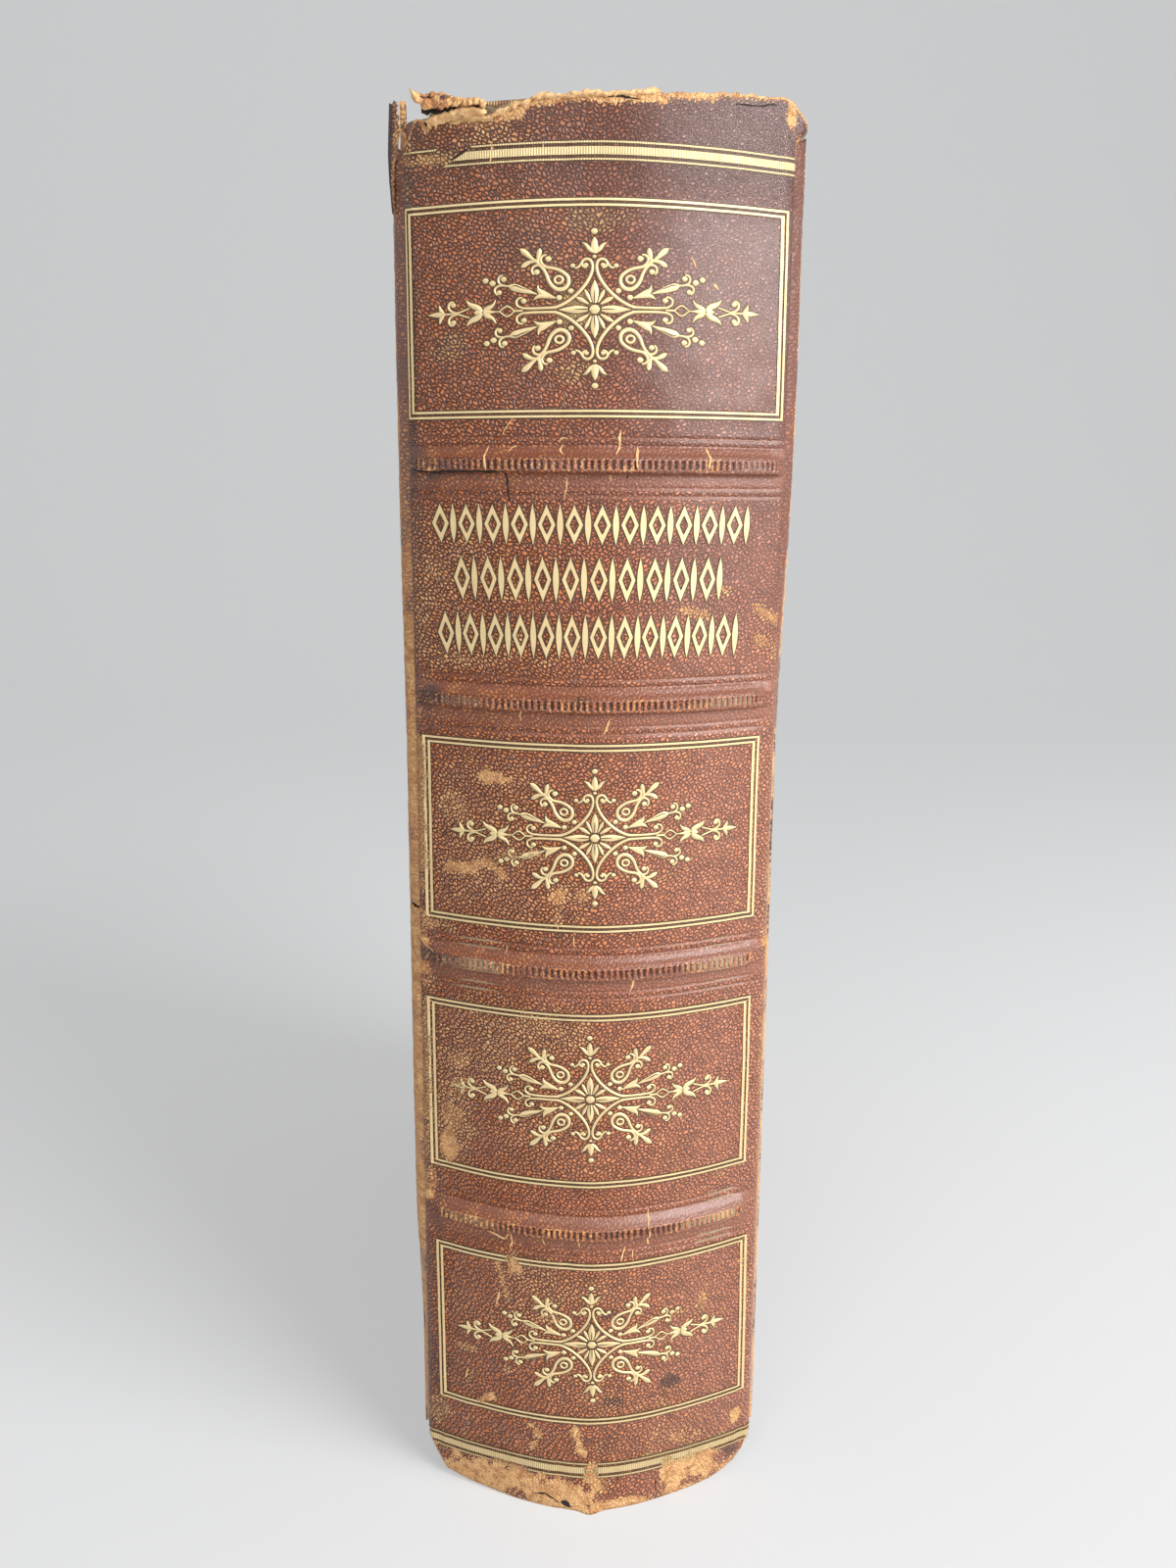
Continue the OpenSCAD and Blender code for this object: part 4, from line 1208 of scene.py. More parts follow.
def sheet_mesh(name: str, across: int, up: int) -> bpy.types.Mesh:
    """Makes a flat grid one unit wide and high about the origin."""
    bm = bmesh.new()
    bmesh.ops.create_grid(bm, x_segments=across, y_segments=up, size=0.5)
    mesh = bpy.data.meshes.new(name)
    bm.to_mesh(mesh)
    bm.free()
    return mesh


def joined(name: str, parts: list[bpy.types.Mesh]) -> bpy.types.Mesh:
    """Joins meshes into one and removes them."""
    bm = bmesh.new()
    for part in parts:
        bm.from_mesh(part)
        bpy.data.meshes.remove(part)
    mesh = bpy.data.meshes.new(name)
    bm.to_mesh(mesh)
    bm.free()
    return mesh


def thicken(mesh: bpy.types.Mesh, thickness: float, side: int = 0, settle: bool = True) -> None:
    """Gives a sheet its thickness.

    Args:
        mesh: the sheet.
        thickness: in millimetres.
        side: the side of the book that its face has to look to, or 0 for either.
        settle: whether its normals are made to agree first.
    """
    bm = bmesh.new()
    bm.from_mesh(mesh)
    if settle:
        bmesh.ops.recalc_face_normals(bm, faces=bm.faces)
    if side:
        bm.faces.ensure_lookup_table()
        normal = bm.faces[len(bm.faces) // 2].normal
        if normal.x * side < 0 and normal.y > 0:
            bmesh.ops.reverse_faces(bm, faces=bm.faces)
    bmesh.ops.solidify(bm, geom=bm.faces[:], thickness=thickness * MM)
    bm.to_mesh(mesh)
    bm.free()


def record_spread(mesh: bpy.types.Mesh, u: np.ndarray, z: np.ndarray, wear: np.ndarray) -> None:
    """Writes the unrolled place and the wear of each vertex into the mesh."""
    corners = np.zeros(len(mesh.loops), np.int32)
    mesh.loops.foreach_get("vertex_index", corners)
    layer = mesh.uv_layers.get(SPREAD_LAYER) or mesh.uv_layers.new(name=SPREAD_LAYER)
    layer.data.foreach_set("uv", np.stack([u[corners], z[corners]], axis=-1).astype(np.float32).ravel())
    colours = mesh.color_attributes
    attribute = colours.get(WEAR_LAYER) or colours.new(WEAR_LAYER, "FLOAT_COLOR", "POINT")
    attribute.data.foreach_set("color", wear.astype(np.float32).ravel())


def along(line: np.ndarray) -> np.ndarray:
    """How far each mark of a line lies from its start, along the line."""
    return np.concatenate([[0], np.cumsum(np.hypot(*np.diff(line, axis=0).T))])


# The spine's pieces


@dataclass
class SpineLeather:
    """The skin of the spine as one fine sheet with a turned-in rim, and the ribbed strips on its bands."""

    form: SpineForm
    wear: WearMap
    column: float = 0.43
    panel_row: float = 0.56
    band_row: float = 0.17
    band_reach: tuple = (-4.4, 6.2)
    inset: float = 0.4
    rim: float = 0.9
    cap_rim: float = 1.7
    rib_column: float = 0.125
    rib_rows: int = 10
    rib_margin: float = 1.6
    rib_gap: float = 0.02
    rib_pitch: float = 1.0
    rib_share: float = 0.42
    rib_depth: float = 0.42

    def levels(self) -> np.ndarray:
        """Heights of the grid's rows, close together at the bands."""
        marks, z = [], 0.0
        start, end = self.band_reach
        while z < self.form.height:
            marks.append(z)
            near = any(start < z - low < end for low in self.form.bands)
            z += self.band_row if near else self.panel_row
        return np.array([*marks, self.form.height])

    def build_skin(self, material: bpy.types.Material) -> bpy.types.Object:
        """Builds the sheet in place of the plain solid.

        Args:
            material: the worn leather.

        Returns:
            The piece.
        """
        form = self.form
        levels = self.levels()
        last = len(levels) - 1
        mesh = sheet_mesh("spine_skin", round(2 * form.reach / self.column), last)
        flat = points_of(mesh)
        u = flat[:, 0] * 2 * form.reach
        row = np.clip(np.round((flat[:, 1] + 0.5) * last).astype(int), 0, last)
        z = form.trimmed(u, levels[row])
        set_points(mesh, form.place(u, z, 0.0, self.inset))
        record_spread(mesh, u, z, self.wear.at(u, z))
        self._turn_rim(mesh)
        piece = add_to_spine("spine_skin", mesh, material)
        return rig.replaces(piece, "spine_leather")

    def _turn_rim(self, mesh: bpy.types.Mesh) -> None:
        """Gives the sheet its thickness along all four edges, with a worn fibrous cut edge."""
        form = self.form
        bm = bmesh.new()
        bm.from_mesh(mesh)
        colour = bm.verts.layers.float_color[WEAR_LAYER]
        edges = [e for e in bm.edges if e.is_boundary]
        made = bmesh.ops.extrude_edge_only(bm, edges=edges)
        fresh = [v for v in made["geom"] if isinstance(v, bmesh.types.BMVert)]
        for v in fresh:
            x, y, z = (c / MM for c in v.co)
            at_end = z > form.height - 12 or z < 1.0
            away = Vector((x, y - form.arc_y, 0)).normalized()
            v.co -= away * (self.cap_rim if at_end and abs(x) < form.fillet_x else self.rim) * MM
            v[colour] = (1.0, *v[colour][1:])
        bmesh.ops.recalc_face_normals(bm, faces=bm.faces)
        middle = min(bm.faces, key=lambda f: (f.calc_center_median() - Vector((0, -1, 0.1))).length)
        if middle.normal.y > 0:
            bmesh.ops.reverse_faces(bm, faces=bm.faces)
        bm.to_mesh(mesh)
        bm.free()

    def _rib_wear(
        self, k: int, u: np.ndarray, z: np.ndarray, groove: np.ndarray, tips: np.ndarray
    ) -> np.ndarray:
        """The wear of a ribbed strip, rubbed light on the ribs, with painted shade in the grooves between them."""
        speckle = self.form.speckle
        wear = self.wear.at(u, z)
        clouds = speckle.layered(u + 11 * k, z * 2.0, 5.0)
        flecks = 0.8 * (speckle.at(u + 50, z, 0.45) - 0.5)
        crest = (1 - groove) * (1.35 * np.clip(clouds - 0.36 - 0.04 * (k == 1), 0, 1) + flecks)
        rubbed = (0.4 * wear[:, Wear.RUBBED] + crest * 0.62 * (1 - 0.5 * tips)) * (1 - 0.9 * groove)
        # The grooves are darkened as painted shade, and the strip is darker towards the left.
        grime = wear[:, Wear.GRIME] * 0.7 + groove + 0.5 * ease(-u, 16, 26)
        wear[:, Wear.RUBBED] = np.clip(rubbed, 0, 1)
        wear[:, Wear.GRIME] = np.clip(grime, 0, 1)
        wear[:, Wear.SMOOTH] = 0.9
        return wear

    def build_ribs(self, material: bpy.types.Material) -> list[bpy.types.Object]:
        """Builds the ribbed strip that lies in the face of each band.

        Args:
            material: the worn leather.

        Returns:
            The four strips.
        """
        form = self.form
        half = form.arc_end - self.rib_margin
        pieces = []
        for k, low in enumerate(form.bands, 1):
            name = f"ribbed_strip_{k}"
            mesh = sheet_mesh(name, round(2 * half / self.rib_column), self.rib_rows)
            flat = points_of(mesh)
            u = flat[:, 0] * 2 * half
            z = low + self.rib_gap + (flat[:, 1] + 0.5) * (form.band_face - 2 * self.rib_gap)
            height = (z - low) / form.band_face
            phase = (u + 0.12 * np.sin(u * 0.7 + k)) / self.rib_pitch
            groove = ease(np.abs((phase % 1) - 0.5) * 2, self.rib_share, self.rib_share + 0.3)
            groove = groove * within(height, 0.24, 0.76, 0.14)
            worn_flat = ease(form.speckle.at(u + 40 * k, z, 6), 0.62, 0.85)
            uneven = (form.speckle.at(u, z + 11 * k, 1.1) - 0.5) * 0.08
            depth = self.rib_depth * groove * (1 - 0.6 * worn_flat) + uneven
            rim = ease(np.abs(height - 0.5), 0.44, 0.5)
            tips = ease(np.abs(u), half - 0.8, half)
            out = 0.02 - depth - 0.30 * rim - 0.35 * tips
            level = form.lift(u, z * 0 + low + form.band_face / 2) - form.lift(u, z)
            set_points(mesh, form.place(u, z, out + level))
            record_spread(mesh, u, z, self._rib_wear(k, u, z, groove, tips))
            pieces.append(add_to_spine(name, mesh, material))
        return pieces


@dataclass
class Gilding:
    """The gold of the spine, laid on the worn leather from the frame's solids, with its dark tooled outlines, partly
    painted shadow of the impression.
    """

    form: SpineForm
    wear: WearMap
    short_edge: float = 0.7
    weld: float = 2e-6
    leaf_out: float = 0.07
    tooling_out: float = -0.02
    thin: float = 0.5
    outline: float = 0.15
    slim: float = -0.055

    def _laid(self, node: str, spread: float, out: float, name: str) -> bpy.types.Mesh:
        """Lays a copy of a gold solid on the worn leather.

        Args:
            node: the CAD node.
            spread: how far its outline is moved outwards, in millimetres.
            out: how far it lies out of the leather.
            name: the mesh's name.

        Returns:
            The mesh.
        """
        bm = bmesh.new()
        bm.from_mesh(frame["nodes"][node].data)
        for layer in list(bm.loops.layers.uv.values()):
            bm.loops.layers.uv.remove(layer)
        bmesh.ops.remove_doubles(bm, verts=bm.verts, dist=self.weld)
        for _ in range(4):
            long = [e for e in bm.edges if e.calc_length() > self.short_edge * MM]
            if not long:
                break
            bmesh.ops.subdivide_edges(bm, edges=long, cuts=1, use_grid_fill=False)
            bmesh.ops.triangulate(bm, faces=[f for f in bm.faces if len(f.verts) > 4])
        self._widen(bm, spread)
        mesh = bpy.data.meshes.new(name)
        bm.to_mesh(mesh)
        bm.free()
        u, z, far = self.form.unroll(points_of(mesh))
        lift = out + np.clip(far, 0, None) * self.thin
        set_points(mesh, self.form.place(u, z, lift))
        record_spread(mesh, u, z, self.wear.at(u, z))
        return mesh

    def _widen(self, bm: bmesh.types.BMesh, spread: float) -> None:
        """Moves every outline outwards along the leather by this many millimetres."""
        bm.normal_update()
        moves = {}
        for v in bm.verts:
            radial = Vector((v.co.x, v.co.y - self.form.arc_y * MM, 0)).normalized()
            sides = [f.normal for f in v.link_faces if abs(f.normal.dot(radial)) < 0.5]
            away = sum(sides, Vector())
            if away.length > 1e-6:
                moves[v] = away.normalized() * spread * MM
        for v, move in moves.items():
            v.co += move

    def build(
        self, node: str, gold: bpy.types.Material, tooling: bpy.types.Material
    ) -> list[bpy.types.Object]:
        """Lays one gold node and the dark outline round it, partly the hot tool's scorch and partly painted shadow of
        the sunken impression.

        Args:
            node: the CAD node.
            gold: the leaf's material.
            tooling: the outline's material.

        Returns:
            The leaf and its outline.
        """
        name = f"{node}_leaf"
        leaf = add_piece(name, self._laid(node, self.slim, self.leaf_out, name), gold, False)
        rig.ride(leaf, "book_block")
        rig.replaces(leaf, node)
        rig.slot(leaf, "gold_leaf")
        name = f"{node}_tooling"
        mark = self._laid(node, self.outline, self.tooling_out, name)
        return [leaf, add_to_spine(name, mark, tooling, False)]


@dataclass(frozen=True)
class StampDrawing:
    """The gold stamp as strokes: places across and up from its middle, each with half the stroke's width."""

    drawn_width: float = 49.0
    quarter: tuple = (
        ((7.4, 0.3, 0.2), (5.4, 0.45, 0.25), (4.1, 1.05, 0.27), (2.8, 2.0, 0.28), (1.6, 3.25, 0.28),
         (0.8, 4.45, 0.27), (0.36, 5.6, 0.25), (0.3, 6.4, 0.24), (0.55, 7.05, 0.24), (1.1, 7.3, 0.24),
         (1.65, 7.05, 0.22), (2.0, 6.5, 0.2), (2.35, 6.1, 0.2), (2.8, 5.98, 0.18)),
        ((1.7, 6.95, 0.16), (1.8, 6.5, 0.2), (1.45, 6.1, 0.2), (1.1, 6.05, 0.16)),
        ((5.4, 0.3, 0.2), (7.5, 0.3, 0.22), (9.6, 0.32, 0.22), (10.7, 0.45, 0.2), (11.35, 0.9, 0.2),
         (11.4, 1.45, 0.2), (11.0, 1.85, 0.2), (10.4, 1.9, 0.16)),
        ((7.9, 6.5, 0.22), (6.8, 6.2, 0.26), (5.6, 5.95, 0.27), (4.6, 5.5, 0.28), (3.8, 4.7, 0.3),
         (3.75, 3.8, 0.32), (4.3, 3.1, 0.34), (5.2, 2.95, 0.34), (6.0, 3.4, 0.32), (6.6, 4.25, 0.3),
         (6.95, 5.2, 0.28), (7.4, 6.0, 0.26), (7.95, 6.55, 0.22)),
        ((6.9, 6.25, 0.2), (7.5, 6.7, 0.22), (7.75, 7.3, 0.22), (7.45, 7.85, 0.22), (6.85, 8.0, 0.16)),
        ((7.5, 6.3, 0.2), (8.2, 6.55, 0.22), (8.85, 6.3, 0.22), (9.05, 5.7, 0.22), (8.75, 5.15, 0.16)),
        ((7.8, 6.5, 0.2), (8.1, 6.85, 0.28), (8.6, 7.25, 0.3)),
        ((8.2, 6.9, 0.2), (8.1, 7.6, 0.3), (7.95, 8.3, 0.42), (7.88, 8.7, 0.36), (7.85, 8.95, 0.08)),
        ((8.5, 7.1, 0.2), (9.2, 7.7, 0.32), (9.9, 8.35, 0.48), (10.4, 8.75, 0.44), (10.75, 9.0, 0.1)),
        ((8.6, 7.05, 0.18), (9.3, 7.05, 0.3), (9.95, 6.75, 0.42), (10.35, 6.5, 0.34), (10.6, 6.35, 0.08)),
        ((5.6, 1.7, 0.08), (6.6, 2.1, 0.35), (7.6, 2.5, 0.55), (8.1, 3.0, 0.3), (8.2, 3.65, 0.06)),
        ((5.6, 1.65, 0.08), (6.8, 1.95, 0.3), (7.8, 2.1, 0.4), (8.4, 1.9, 0.25), (8.85, 1.55, 0.06)),
        ((8.3, 2.35, 0.08), (9.2, 2.65, 0.28), (10.3, 3.0, 0.5), (11.3, 3.35, 0.62), (12.0, 3.55, 0.55),
         (12.45, 3.68, 0.22)),
        ((12.4, 3.68, 0.16), (13.2, 3.75, 0.18), (13.9, 4.1, 0.2), (14.1, 4.7, 0.2), (13.8, 5.2, 0.2),
         (13.3, 5.3, 0.14)),
        ((13.3, 3.78, 0.16), (14.1, 3.75, 0.2), (14.6, 3.4, 0.2), (14.6, 2.85, 0.2), (14.2, 2.4, 0.14)),
        ((0.5, 1.0, 0.12), (0.85, 1.7, 0.26), (1.2, 2.4, 0.3), (1.4, 2.85, 0.1)),
        ((0.85, 0.75, 0.12), (1.5, 1.15, 0.3), (2.2, 1.55, 0.34), (2.65, 1.75, 0.1)),
        ((11.7, 0.05, 0.12), (12.8, 0.75, 0.16), (13.9, 0.08, 0.12)),
        ((14.5, 1.75, 0.05), (14.72, 1.35, 0.16), (15.1, 0.9, 0.3), (15.65, 0.62, 0.4), (16.15, 0.34, 0.4),
         (16.3, 0, 0.3)),
        ((16.8, 0, 0.3), (16.95, 0.42, 0.44), (17.5, 0.82, 0.5), (18.15, 1.08, 0.44), (18.65, 1.4, 0.3),
         (18.98, 1.92, 0.05)),
        ((18.5, 0.72, 0.15), (19.4, 0.42, 0.16), (20.3, 0.14, 0.16), (21.0, 0.04, 0.14)),
        ((20.5, 0.12, 0.16), (21.2, 0.3, 0.2), (21.75, 0.8, 0.23), (21.75, 1.4, 0.24), (21.3, 1.75, 0.22),
         (20.9, 1.6, 0.18)),
        ((22.5, 0.1, 0.2), (23.0, 0.6, 0.36), (23.2, 1.35, 0.06)),
        ((0.15, 8.25, 0.25), (0.75, 8.7, 0.32), (1.2, 9.3, 0.26), (1.75, 9.65, 0.06)),
    )
    quarter_dots: tuple = (
        (3.1, 6.35, 0.38), (1.2, 6.42, 0.36), (10.3, 1.42, 0.45), (6.6, 7.4, 0.48), (8.3, 5.55, 0.46),
        (3.4, 2.7, 0.44), (5.1, 1.75, 0.46), (13.25, 4.72, 0.46), (13.95, 2.8, 0.42), (14.95, 4.2, 0.5),
        (16.0, 4.65, 0.48), (21.05, 1.3, 0.44),
    )
    eye: tuple = (5.15, 4.35, 0.6, 0.52, 0.22)
    sides: tuple = (
        ((10.4, 0, 0.18), (11.2, 0, 0.2), (11.9, 0, 0.14)),
        ((13.8, 0, 0.12), (14.6, 0, 0.14), (15.4, 0, 0.34), (16.2, 0, 0.5)),
        ((16.7, 0, 0.3), (17.2, 0, 0.55), (17.8, 0, 0.2)),
        ((20.2, 0, 0.14), (21.6, 0, 0.18), (22.6, 0, 0.22)),
        ((22.4, 0, 0.22), (23.2, 0, 0.46), (24.1, 0, 0.34), (24.95, 0, 0.05)),
        ((1.0, 0, 0.36), (1.9, 0, 0.6), (2.8, 0, 0.66), (3.8, 0, 0.46), (5.2, 0, 0.05)),
    )
    ends: tuple = (
        ((0, 0.95, 0.32), (0, 1.8, 0.58), (0, 2.6, 0.68), (0, 3.4, 0.48), (0, 4.25, 0.05)),
        ((0, 8.1, 0.3), (0, 8.7, 0.6), (0, 9.4, 0.55), (0, 10.0, 0.38), (0, 10.4, 0.08)),
    )
    end_dots: tuple = ((0, 7.62, 0.3), (0, 11.25, 0.5))
    middle_dot: float = 0.78
    quarter_veins: tuple = (((9.5, 2.95, 0.03), (10.6, 3.35, 0.09), (11.6, 3.7, 0.09), (12.1, 3.55, 0.03)),)
    side_veins: tuple = (((1.05, 0, 0.1), (2.0, 0, 0.1), (3.0, 0, 0.03)),)
    end_veins: tuple = (((0, 1.0, 0.1), (0, 1.9, 0.1), (0, 2.8, 0.03)),)

    @staticmethod
    def _dot(x: float, z: float, r: float) -> tuple:
        """A round dot as a stroke."""
        turn = np.linspace(math.pi - 0.05, 0.05, 9)
        return tuple((x + r * math.cos(a), z, r * math.sin(a)) for a in turn)

    def _ring(self) -> tuple:
        """The ring in each drop as a stroke."""
        x, z, wide, high, half = self.eye
        turn = np.linspace(0, FULL_TURN, 15)
        return tuple((x + wide * math.cos(a), z + high * math.sin(a), half) for a in turn)

    @staticmethod
    def _mirrored(strokes: list, across: tuple = (1, -1), up: tuple = (1, -1)) -> list[tuple]:
        """Strokes drawn again to the sides and ends that are given by their signs."""
        return [
            tuple((x * a, z * b, w) for x, z, w in stroke) for stroke in strokes for a in across for b in up
        ]

    def gold(self) -> list[tuple]:
        """All the strokes of gold."""
        quarter = [*self.quarter, self._ring(), *(self._dot(*d) for d in self.quarter_dots)]
        ends = [*self.ends, *(self._dot(*d) for d in self.end_dots)]
        strokes = [*self._mirrored(quarter), *self._mirrored(self.sides, up=(1,))]
        return [*strokes, *self._mirrored(ends, across=(1,)), self._dot(0, 0, self.middle_dot)]

    def veins(self) -> list[tuple]:
        """The dark lines cut into buds and petals."""
        strokes = [*self._mirrored(self.quarter_veins), *self._mirrored(self.side_veins, up=(1,))]
        return [*strokes, *self._mirrored(self.end_veins, across=(1,))]


@dataclass
class GoldStamps:
    """The stamp struck on each panel, laid on the worn leather with its dark outline and veins, which are partly
    painted shadow of the impression.
    """

    form: SpineForm
    wear: WearMap
    drawing: StampDrawing = field(default_factory=StampDrawing)
    outline: float = 0.15
    slim: float = 0.84
    crown: float = 0.15
    leaf_out: float = 0.03
    outline_out: float = 0.015
    vein_out: float = 0.2
    thinnest: float = 0.02
    step: float = 0.26
    turns: tuple = (0.6, 0.5, 1.0, 1.2)
    widen: float = 1.02

    def _flat(self, strokes: list[tuple], spread: float, across: int, name: str) -> bpy.types.Mesh:
        """Draws the strokes as flat ribbons, with the crown's share kept as the depth.

        Args:
            strokes: the strokes.
            spread: how far their outline is moved outwards.
            across: how many faces a ribbon has across.
            name: the mesh's name.

        Returns:
            The mesh.
        """
        parts = []
        for stroke in strokes:
            marks = np.array(stroke, float)
            run = along(marks[:, :2])
            steps = max(5, int(run[-1] / self.step))
            fine = np.linspace(0, run[-1], steps * 4 + 1)
            bend = [self._curve(run, marks[:, k], fine) for k in range(3)]
            direction = np.stack([np.gradient(bend[0]), np.gradient(bend[1])])
            direction = direction / (np.hypot(*direction) + 1e-9)
            part = sheet_mesh("stroke", steps, across)
            flat = points_of(part)
            t, s = (flat[:, 0] + 0.5) * run[-1], flat[:, 1] * 2
            x, z, half, dx, dz = (np.interp(t, fine, row) for row in (*bend, *direction))
            wide = np.maximum(half, self.thinnest) * self.slim + spread
            past = spread * flat[:, 0] * 2
            x, z = x - dz * s * wide + dx * past, z + dx * s * wide + dz * past
            set_points(part, np.stack([x, 1 - s**2, z], axis=-1) * MM)
            parts.append(part)
        return joined(name, parts)

    @staticmethod
    def _curve(run: np.ndarray, values: np.ndarray, at: np.ndarray) -> np.ndarray:
        """A smooth curve through values along a run."""
        even = np.full(len(run), (values[-1] - values[0]) / run[-1])
        slope = np.gradient(values, run) if len(run) > 2 else even
        k = np.clip(np.searchsorted(run, at, side="right") - 1, 0, len(run) - 2)
        span = run[k + 1] - run[k]
        t = (at - run[k]) / span
        return (
            values[k] * (1 + 2 * t) * (1 - t) ** 2 + slope[k] * span * t * (1 - t) ** 2
            + values[k + 1] * t * t * (3 - 2 * t) - slope[k + 1] * span * t * t * (1 - t)
        )

    def _struck(self, flat: bpy.types.Mesh, k: int, out: float, crown: float, name: str) -> bpy.types.Mesh:
        """Lays the flat drawing on a panel.

        Args:
            flat: the drawing.
            k: the panel's number.
            out: how far it lies out of the leather.
            crown: how far its strokes are rounded.
            name: the mesh's name.

        Returns:
            The mesh.
        """
        low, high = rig.box(f"panel_ornament_{k}")
        middle = (low + high) / 2 / MM
        scale = (high.x - low.x) / MM / self.drawing.drawn_width
        mesh = flat.copy()
        mesh.name = name
        x, share, z = (points_of(mesh) / MM).T
        turn = math.radians(self.turns[k - 1])
        sine, cosine = math.sin(turn), math.cos(turn)
        x, z = x * scale * self.widen, z * (0.5 + 0.5 * scale)
        x, z = middle.x + x * cosine - z * sine, middle.z + z * cosine + x * sine
        u = self.form.radius * np.arcsin(x / self.form.radius)
        set_points(mesh, self.form.place(u, z, out + crown * share))
        record_spread(mesh, u, z, self.wear.at(u, z))
        return mesh

    def build(self, gold: bpy.types.Material, tooling: bpy.types.Material) -> None:
        """Strikes the four stamps.

        Args:
            gold: the leaf's material.
            tooling: the outline's and the veins' material.
        """
        leaf = self._flat(self.drawing.gold(), 0.0, 4, "stamp_drawing")
        under = self._flat(self.drawing.gold(), self.outline, 2, "outline_drawing")
        veins = self._flat(self.drawing.veins(), 0.0, 2, "vein_drawing")
        for k in range(1, 5):
            name = f"panel_stamp_{k}"
            stamp = add_piece(name, self._struck(leaf, k, self.leaf_out, self.crown, name), gold)
            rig.ride(stamp, "book_block")
            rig.replaces(stamp, f"panel_ornament_{k}")
            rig.slot(stamp, "gold_leaf")
            for part, flat, out in (("tooling", under, self.outline_out), ("veins", veins, self.vein_out)):
                name = f"stamp_{part}_{k}"
                add_to_spine(name, self._struck(flat, k, out, 0.0, name), tooling)


